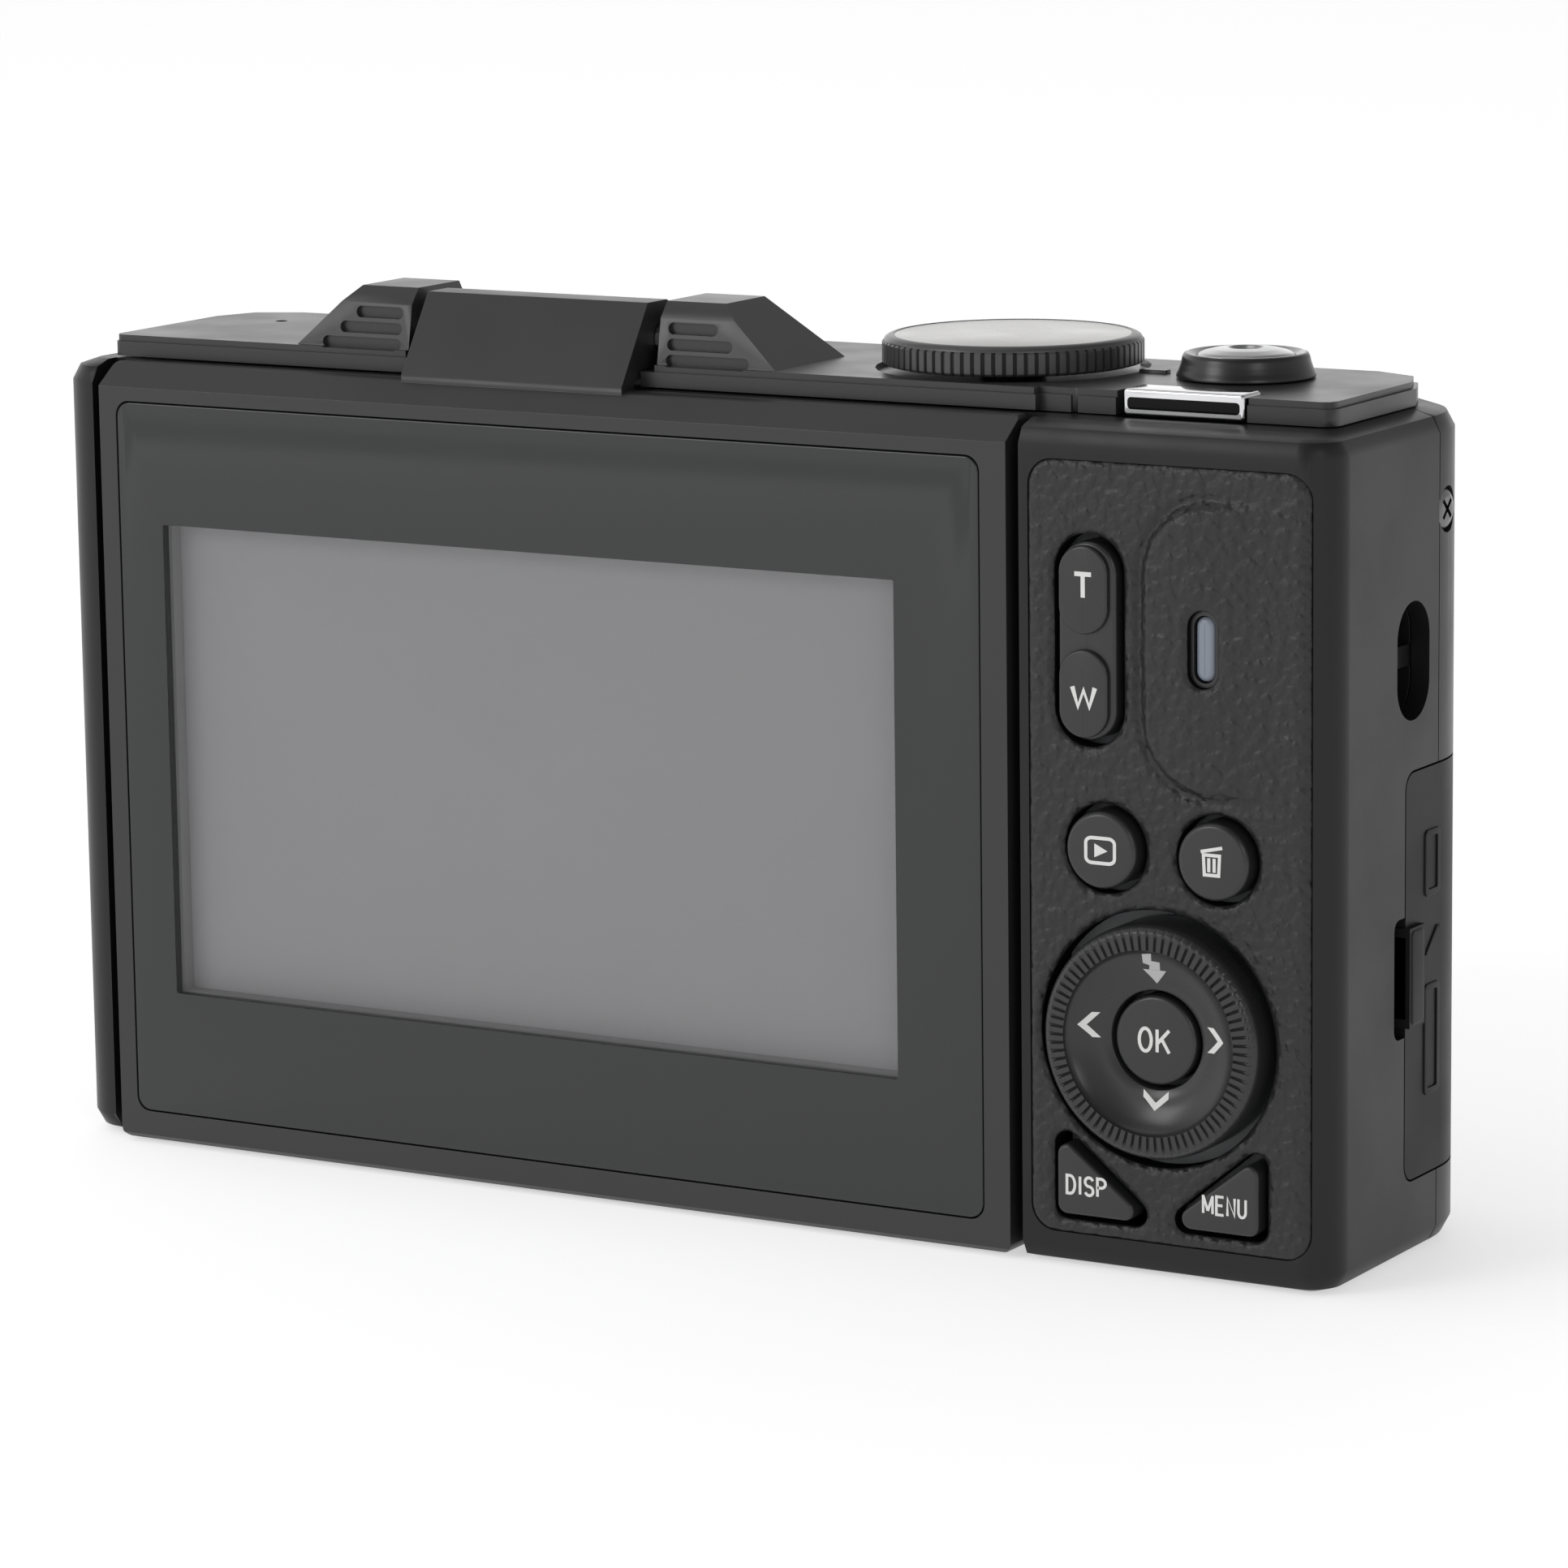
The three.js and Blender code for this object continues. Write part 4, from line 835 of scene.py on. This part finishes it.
def key_prints(rx, rz, wx, wz):
    """White legends and symbols on the keys."""
    def print_on(key_name, name, strokes, centre, size, width, proud, fills=()):
        marks("print_" + name, strokes, centre, size, width, lambda u, v: REAR - proud, key_name, fills)

    island, corner, round_key = PROUD["island"], PROUD["corner"], PROUD["round"]
    print_on("zoom_rocker", "tele", word("T"), (rx - 0.1, rz + 4.1), (1.36, 1.72), 0.34, island)
    print_on("zoom_rocker", "wide", word("W"), (rx - 0.07, rz - 4.05), (1.85, 1.45), 0.38, island)
    print_on("ok_button", "ok", word("OK", 0.3), (wx - 0.1, wz), (2.45, 1.7), 0.26, PROUD["ok"])
    print_on("display_button", "display", word("DISP", 0.34), (36.95, 6.5), (3.2, 1.35), 0.22, corner)
    print_on("menu_button", "menu", word("MENU", 0.34), (48.3, 6.3), (3.45, 1.35), 0.2, corner)
    box = rectangle(0, 1, 0, 1, 0.21, 8)
    arrow = [(0.3, 0.22), (0.76, 0.5), (0.3, 0.78)]
    print_on("play_button", "play", [box + box[:1]], (PLAY.x, PLAY.z), (2.35, 1.85), 0.26, round_key, [arrow])
    can = [[(0.14, 0.70), (0.18, 0.02), (0.82, 0.02), (0.86, 0.70), (0.14, 0.70)]]
    can += [[(u, 0.6), (u, 0.12)] for u in (0.38, 0.62)] + [[(0.02, 0.80), (0.98, 0.98)]]
    print_on("erase_button", "erase", can, (ERASE.x - 0.05, ERASE.z + 0.1), (1.8, 2.15), 0.25, round_key)

    def on_dish(u, v):
        return REAR - dish_depth(math.hypot(u - wx, v - wz))

    places = {"left": ((-5.35, 0.7), (1.6, 1.9)), "right": ((4.9, 0.45), (1.5, 1.9)),
              "down": ((-0.05, -4.5), (2.05, 1.5))}
    for side, ((du, dv), size) in places.items():
        marks("print_" + side, [], (wx + du, wz + dv), size, 0, on_dish, "control_pad", bands=chevron(side))
    bolt = [((0.13, 0.95), (0.06, 0.64), (0.32, 0.58), (0.25, 0.40)),
            ((0.54, 1.0), (0.44, 0.73), (0.80, 0.71), (0.72, 0.40))]
    barb = [((0.0, 0.43), (0.52, 0.0)), ((1.0, 0.43), (0.53, 0.0))]
    marks("print_flash", [], (wx, wz + 5.45), (1.9, 2.4), 0, on_dish, "control_pad", bands=[bolt, barb],
          material=print_grey)


# ---- top controls

DIAL_RIBS = 77


def mode_dial():
    """Knurled dial with a spun metal disc set in its top."""
    low, high = corners("mode_dial")
    x, y, r, top = (low.x + high.x) / 2, (low.y + high.y) / 2, (high.x - low.x) / 2, high.z
    z0, z1 = 64.95, top - 0.45
    profile = [(0, 60), (2.5, 60), (2.5, z0)]
    profile += [(r - 0.5, z0), (r - 0.12, z0 + 0.1), (r, z0 + 0.25), (r, z0 + 0.9), (r, z1 - 0.1)]
    profile += [(r - 0.1, z1), (9.72, z1 + 0.03), (9.7, z1 + 0.14), (9.62, z1 + 0.25), (9.45, z1 + 0.36)]
    profile += [(9.2, top), (9.02, top), (8.96, top - 0.07), (0, top - 0.07)]

    def knurled(radius, h, a):
        if radius > 9.74 and h < z1 + 0.01:
            return radius - 0.3 * groove(a, DIAL_RIBS, 0.3, 0.14), h
        return radius, h

    dial = turned("mode_dial_fine", profile, "z", (x, y, 0), dial_plastic, DIAL_RIBS * 10, wobble=knurled,
                  angle=30)
    stands_for(dial, "mode_dial")
    spun = turned_metal("dial_metal", (0.42, 0.415, 0.40), 0.26, 2, (x, y, 0))
    plate = [(0, top - 0.1), (8.92, top - 0.1), (8.92, top - 0.05), (8.86, top - 0.03), (0, top - 0.03)]
    trim(turned("dial_disc", plate, "z", (x, y, 0), spun, 160), "mode_dial")


def shutter():
    """Shutter button with a thumb dimple, in a black collar with a bright rim."""
    low, high = corners("shutter_ring")
    x, y, top = (low.x + high.x) / 2, (low.y + high.y) / 2, high.z
    ring = [(3.9, 64.3), (3.9, top - 0.32), (4.3, top - 0.04), (4.58, top - 0.04), (4.72, top - 0.3),
            (4.82, top - 0.75), (4.97, top - 1.2), (5.15, top - 1.6), (5.17, 64.78), (4.2, 64.78),
            (3.95, 64.3)]
    bright = [(3.72, top - 0.42), (3.74, top - 0.27), (4.3, top + 0.03), (4.46, top - 0.01),
              (4.4, top - 0.12), (4.0, top - 0.42)]
    ring, bright = filleted(ring, 0.1, 4, True), filleted(bright, 0.05, 3, True)
    piece = turned("shutter_ring_fine", ring, "z", (x, y, 0), black_gloss, 160, closed=True)
    stands_for(piece, "shutter_ring")
    rim = turned("shutter_rim", bright, "z", (x, y, 0), steel, 160, closed=True)
    trim(rim, "body")
    crown = corners("shutter_button")[1].z
    cap = [(0, crown - 0.36), (0.95, crown - 0.32), (1.25, crown - 0.1), (1.4, crown), (1.6, crown - 0.01),
           (2.4, crown - 0.1), (3.3, crown - 0.33), (3.6, crown - 0.5), (3.6, 65.3), (0, 65.3)]
    button = turned("shutter_button_fine", filleted(cap, 0.15, 4), "z", (x, y, 0), cap_metal, 128)
    stands_for(button, "shutter_button")


def power_key():
    """Chrome key whose back face holds a near-black mirror patch: a painted dark reflection."""
    low, high = corners("power_button")
    z0 = 63.0
    outline = rectangle(low.x, high.x, z0, high.z, 0.3, 6)
    piece = slab("power_key_fine", outline, high.y, low.y, chrome, edge=0.22, rings=6)
    stands_for(piece, "power_button")
    # The near-black mirror patch paints the dark reflection seen in the middle of the chrome face.
    reflection_outline = rectangle(low.x + 0.35, high.x - 0.35, z0 + 0.45, high.z - 0.6, 0.3, 6)
    piece = slab("power_painted_reflection", reflection_outline, low.y + 0.1, low.y - 0.03, painted_dark_reflection, edge=0.03)
    trim(piece, "power_button")


# ---- port flap, screws and small parts

def port_flap():
    """Rubber flap with a rounded pull bar and plain raised marks, two frames and a stroke."""
    refined("port_flap", rubber, 0.05)
    skin = BODY_SIDE

    def raised(name, outline, back, front, edge, hole=None, rings=5):
        piece = slab(name, outline, back, front, rubber, edge=edge, plane="yz", rings=rings)
        if hole:
            carve(piece, slab("hole", hole, skin - 1, skin + 1, rubber, plane="yz"))
        trim(piece, "port_flap")

    bar = rectangle(-5.7, -3.1, 17.8, 25.3, 0.7, 8)
    raised("flap_pull", bar, skin - 0.8, corners("port_flap")[1].x + 0.1, 0.45, rings=6)
    for name, z0, z1 in (("upper", 27.0, 32.0), ("lower", 12.0, 20.4)):
        inner = rectangle(-1.8, -0.2, z0 + 0.5, z1 - 0.5, 0.2)
        raised("flap_mark_" + name, rectangle(-2.3, 0.3, z0, z1, 0.5), skin - 0.2, skin + 0.12, 0.08, inner)
    stroke = rounded_polygon([(-2.3, 22.6), (-1.8, 22.6), (0.3, 24.6), (-0.2, 24.6)], 0.05)
    raised("flap_mark_stroke", stroke, skin - 0.2, skin + 0.12, 0.08)


def screw(node, axis, way):
    """A pan-head screw with a cross recess, standing where the CAD screw is."""
    low, high = corners(node)
    c = (low + high) / 2
    index = "xyz".index(axis)
    face = (high if way > 0 else low)[index]
    head = [(0, face), (0.9, face), (1.35, face - way * 0.12), (1.6, face - way * 0.35),
            (1.6, face - way * 0.7), (0, face - way * 0.7)]
    centre = [c.x, c.y, c.z]
    centre[index] = 0
    piece = turned(node + "_fine", filleted(head, 0.1, 3), axis, centre, screw_metal, 64)
    plane = "xyz".replace(axis, "")
    cu, cv = (c["xyz".index(letter)] for letter in plane)
    for turn in (45, 135):
        a = math.radians(turn)
        along, across = Vector((math.cos(a), math.sin(a))), Vector((-math.sin(a), math.cos(a)))
        bar = [along * i * 0.95 + across * k * 0.17 for i, k in ((-1, -1), (1, -1), (1, 1), (-1, 1))]
        outline = [(cu + p.x, cv + p.y) for p in bar]
        carve(piece, slab("slot", outline, face - way * 0.4, face + way * 1, screw_metal, plane=plane))
    stands_for(piece, node)


def front_grip():
    """The leather grip on the front: a grid over its box, cut to a rounded outline."""
    low, high = corners("front_grip_pad")
    base = low.y
    step = 0.33
    wide, tall = high.x - low.x, high.z - low.z
    columns, rows = round(wide / step), round(tall / step)
    bulge = high.y - base
    points, faces = [], []

    def section(t):
        """Thickness of the grip across its width: a full roll towards the side of the body."""
        turn_in = math.sqrt(max(0.0, 1 - ((t - 0.75) / 0.25) ** 2)) * 0.86 + 0.14
        return 0.75 + (bulge - 0.95) * (smooth(t / 0.75) if t < 0.75 else turn_in)

    for layer in (0, 1):
        for i in range(columns + 1):
            for k in range(rows + 1):
                x, z = low.x + wide * i / columns, low.z + tall * k / rows
                border = min(x - low.x, high.x - x, z - low.z, high.z - z)
                rise = section(i / columns) * (0.35 + 0.65 * smooth(border / 2.2))
                rise += 0.10 * pebbles(x, z, 9.1) - 0.05
                points.append((x, base + (rise if layer == 0 else 0.05), z))
    stride, size = rows + 1, (rows + 1) * (columns + 1)
    for i in range(columns):
        for k in range(rows):
            a, b, c, d = i * stride + k, (i + 1) * stride + k, (i + 1) * stride + k + 1, i * stride + k + 1
            faces += [(a, d, c, b), (size + a, size + b, size + c, size + d)]
    rim = list(range(rows)) + [i * stride + rows for i in range(columns)]
    rim += [columns * stride + k for k in range(rows, 0, -1)] + [i * stride for i in range(columns, 0, -1)]
    faces += [(a, b, size + b, size + a) for a, b in zip(rim, rim[1:] + rim[:1])]
    grip = build("front_leather", points, faces, leather, 60)
    keep = slab("keep", front_of(low, high, 3.0, 16), base - 1, high.y + 1, leather)
    stands_for(carve(grip, keep, "INTERSECT", 60), "front_grip_pad")


# ---- lens

LENS_RIBS = 150


def lens():
    """Ring, two telescoping tubes, an inner flange, the front element and its barrier."""
    centre = middle("lens_outer_tube")
    x, z = centre.x, centre.z
    barrel = turned_metal("lens_metal", (0.035, 0.035, 0.037), 0.32, 1, (x, 0, z), 0.9)

    def tube(name, profile, fillet, count, material=barrel, steps=192, **settings):
        smoothed = filleted(profile, fillet, count, True)
        return turned(name, smoothed, "y", (x, 0, z), material, steps, closed=True, **settings)

    low, high = corners("lens_ring")
    r, base = (high.x - low.x) / 2, low.y
    ring = [(20.6, base), (r, base), (r, base + 1.1), (r - 0.25, base + 1.5), (r - 1.3, high.y - 0.25),
            (r - 2.6, high.y), (21.2, high.y), (20.6, high.y - 0.5)]

    def knurled(radius, h, a):
        if radius > r - 0.4 and h < base + 1.2:
            return radius - 0.22 * groove(a, LENS_RIBS, 0.2, 0.18), h
        return radius, h

    piece = tube("lens_ring_fine", ring, 0.2, 4, steps=LENS_RIBS * 8, wobble=knurled, angle=45)
    stands_for(piece, "lens_ring")

    low, high = corners("lens_outer_tube")
    rim, nose = (high.x - low.x) / 2, high.y
    outer = [(18.1, low.y), (rim, low.y), (rim, nose - 1.4), (rim - 0.15, nose - 1.3),
             (rim - 0.15, nose - 1.1), (rim, nose - 1.0), (rim, nose - 0.4), (rim - 0.4, nose),
             (18.3, nose), (18.1, nose - 0.2)]
    stands_for(tube("lens_outer_fine", outer, 0.1, 3), "lens_outer_tube")

    low, high = corners("lens_inner_tube")
    nose = high.y
    inner = [(16.0, low.y), (17.8, low.y), (17.8, nose - 0.7), (17.3, nose), (16.2, nose),
             (15.6, nose - 0.35), (14.6, nose - 0.4), (14.2, nose - 0.75), (12.4, nose - 0.85),
             (12.0, nose - 1.1), (9.6, nose - 1.2), (7.2, nose - 1.75), (6.5, nose - 1.85),
             (6.5, nose - 2.2), (16.0, nose - 2.2)]
    stands_for(tube("lens_inner_fine", inner, 0.15, 4), "lens_inner_tube")
    flange = [(16.2, 15.6), (9.4, 15.6), (9.4, 14.9), (8.9, 14.9), (8.9, 10.2), (16.2, 10.2)]
    trim(tube("lens_flange", flange, 0.1, 3, dark_rubber, 128), "lens_inner")

    low, high = corners("front_element")
    dome = [(0, low.y), (9.0, low.y), (9.0, low.y + 1.6)]
    for i in range(13):
        radius = 8.8 * (1 - i / 12)
        dome.append((radius, high.y - 1.9 * (radius / 8.8) ** 2))
    stands_for(turned("front_element_fine", dome, "y", (x, 0, z), coated_glass, 128), "front_element")
    barrier_leaves(x, z)


def barrier_leaves(x, z):
    """Two leaves that meet across the lens opening. Each turns about a pin beside the glass."""
    radius, gap, lobe = 7.0, 0.15, 1.4
    pin_x, pin_z, pin_r = 12.8, 1.5, 1.0
    start = math.degrees(math.asin(2 * lobe / radius))
    for node, side in (("barrier_upper", 1), ("barrier_lower", -1)):
        low, high = corners(node)
        leaf = arc(pin_x, gap + lobe, lobe, lobe, -90, 90, 16) + arc(0, gap, radius, radius, start, 180, 48)
        outline = [(x + u, z + side * v) for u, v in leaf]
        piece = slab(node + "_fine", outline[::side], low.y, high.y, dark_rubber, edge=0.08, rings=3)
        rod = [(0, low.y - 1), (pin_r, low.y - 1), (pin_r, high.y + 1), (0, high.y + 1)]
        hole = turned("pin_hole", rod, "y", (x + pin_x, 0, z + side * pin_z), dark_rubber, 32)
        stands_for(carve(piece, hole), node)


def front_windows():
    """Flash window with a row of prisms behind it, and the domed lamp window."""
    low, high = corners("flash_window")
    pane = slab("flash_pane", front_of(low, high, 0.9, 8), low.y, high.y - 0.15, window_glass, edge=0.15)
    stands_for(pane, "flash_window")
    count, border = 9, 0.4
    pitch = (high.z - low.z - 2 * border) / count
    for i in range(count):
        z = low.z + border + pitch * (i + 0.5)
        strip = rectangle(low.x + 0.5, high.x - 0.5, z - pitch * 0.46, z + pitch * 0.46, 0.1, 2)
        rib = slab(f"flash_prism_{i}", strip, high.y - 0.3, high.y - 0.02, window_glass, edge=pitch * 0.2,
                   rings=3)
        trim(rib, "body")
    low, high = corners("af_lamp_window")
    c, base, face = (low + high) / 2, low.y, high.y
    dome = [(0, base), (2.9, base), (2.9, base + 0.5), (2.1, base + 0.5), (2.1, face - 0.4),
            (1.8, face - 0.1), (1.0, face - 0.02), (0, face)]
    lamp = turned("lamp_window", filleted(dome, 0.1, 3), "y", (c.x, 0, c.z), lamp_red, 64)
    stands_for(lamp, "af_lamp_window")
    refined("flash_reflector", chrome, 0.1)


def tripod():
    """Brass socket with the grooves of a 1/4-inch thread."""
    low, high = corners("tripod_socket")
    c = (low + high) / 2
    pitch = 1.27
    bore = []
    z = low.z
    while z < high.z - 0.9:
        bore += [(3.1, z), (2.65, z + pitch / 2)]
        z += pitch
    profile = [(0, high.z - 0.5)] + bore[::-1] + [(3.35, low.z)]
    profile += [(4.2, low.z), (4.2, 1.6), (5.2, 1.6), (5.2, high.z), (0, high.z)]
    stands_for(turned("tripod_thread", profile, "z", (c.x, c.y, 0), brass, 96), "tripod_socket")


KEPT = {
    "hinge_pin_left": steel, "hinge_pin_right": steel, "key_membrane": silicone, "key_board": board,
    "mode_switch": body_plastic, "lens_housing": body_plastic, "image_sensor": board, "zoom_motor": steel,
    "flash_tube": window_glass, "flash_capacitor": rubber, "usb_socket": steel, "video_socket": steel,
    "door_hinge_rod": steel, "battery": battery_wrap, "battery_holder": body_plastic, "card_socket": steel,
    "main_board": board, "speaker": rubber, "microphone": steel, "pad_cushion": silicone,
}


def kept_nodes():
    """CAD nodes whose own shape stays get their material."""
    for node, material in KEPT.items():
        target = frame["nodes"][node]
        target.data.materials.clear()
        target.data.materials.append(material)
        for face in target.data.polygons:
            face.material_index = 0


# ---- stage

def stage():
    """A pale floor, a sky that is brightest low on the left, and three soft lamps."""
    half = 4000.0
    square = [(-half, -half, 0), (half, -half, 0), (half, half, 0), (-half, half, 0)]
    pale = new_material("pale_floor", (0.85, 0.85, 0.85), 0.8, Emission_Color=(1, 1, 1, 1),
                        Emission_Strength=0.55)
    floor = linked("floor", new_mesh("floor", square, [(0, 1, 2, 3)], pale))
    world = bpy.data.worlds.new("studio")
    bpy.context.scene.world = world
    world.use_nodes = True
    sky = world.node_tree
    split = add_node(sky, "ShaderNodeSeparateXYZ", {0: coordinates(sky, "Generated")})
    upper = ramped(sky, split.outputs["Z"], 1.15, 0.42, 0.2, 0.75)
    sideways = ramped(sky, split.outputs["X"], 1.05, 0.5, -0.33, 0.05)
    level = add_node(sky, "ShaderNodeMath", {0: upper, 1: sideways}, operation="MULTIPLY")
    sky.links.new(level.outputs[0], sky.nodes["Background"].inputs["Strength"])
    sky.nodes["Background"].inputs["Color"].default_value = (1, 1, 1, 1)
    bpy.context.scene.view_settings.view_transform = "Standard"
    lights = {      # place, aim, size in metres, and power in watts
        "front_left": ((-0.8, -1.2, 0.72), (0.0, 0.0, 0.04), 0.6, 4.0),
        "right": ((0.95, -0.85, 0.5), (0.0, 0.0, 0.03), 0.4, 1.2),
        "overhead": ((-0.5, -0.2, 1.3), (0.0, 0.0, 0.0), 1.0, 1.5),
    }
    for name, (place, aim, size, power) in lights.items():
        lamp = bpy.data.lights.new(name, "AREA")
        lamp.size = size
        lamp.energy = power
        holder = linked(name, lamp)
        holder.location = place
        holder.rotation_mode = "QUATERNION"
        holder.rotation_quaternion = (Vector(aim) - Vector(place)).to_track_quat("-Z", "Y")


VIEW = {"azimuth": 30.586, "elevation": 10.521, "roll": -0.752, "distance": 496.8,
        "target": (5.45, -8.24, 32.27), "lens": 148.83, "sensor": 36.0}


def camera():
    """The photograph's viewing angle: it looks at VIEW's target from VIEW's distance."""
    a, e, roll = (math.radians(VIEW[k]) for k in ("azimuth", "elevation", "roll"))
    back = Vector((math.sin(a) * math.cos(e), -math.cos(a) * math.cos(e), math.sin(e)))
    level = Vector((math.cos(a), math.sin(a), 0))
    rise = back.cross(level)
    right = level * math.cos(roll) + rise * math.sin(roll)
    up = rise * math.cos(roll) - level * math.sin(roll)
    data = bpy.data.cameras.new("camera")
    data.lens = VIEW["lens"]
    data.sensor_width = VIEW["sensor"]
    data.clip_start = 0.01
    data.clip_end = 50.0
    holder = linked("camera", data)
    place = (Vector(VIEW["target"]) + back * VIEW["distance"]) * MM
    holder.matrix_world = Matrix.Translation(place) @ Matrix((right, up, back)).transposed().to_4x4()
    bpy.context.scene.camera = holder


camera()
stage()
covers()
screen()
rear_pad()
rear_keys()
mode_dial()
shutter()
power_key()
port_flap()
for screw_node, screw_axis, screw_way in (("side_screw_right", "x", 1), ("side_screw_left", "x", -1),
                                          ("bottom_screw_left", "z", -1), ("bottom_screw_middle", "z", -1)):
    screw(screw_node, screw_axis, screw_way)
front_grip()
lens()
front_windows()
tripod()
kept_nodes()
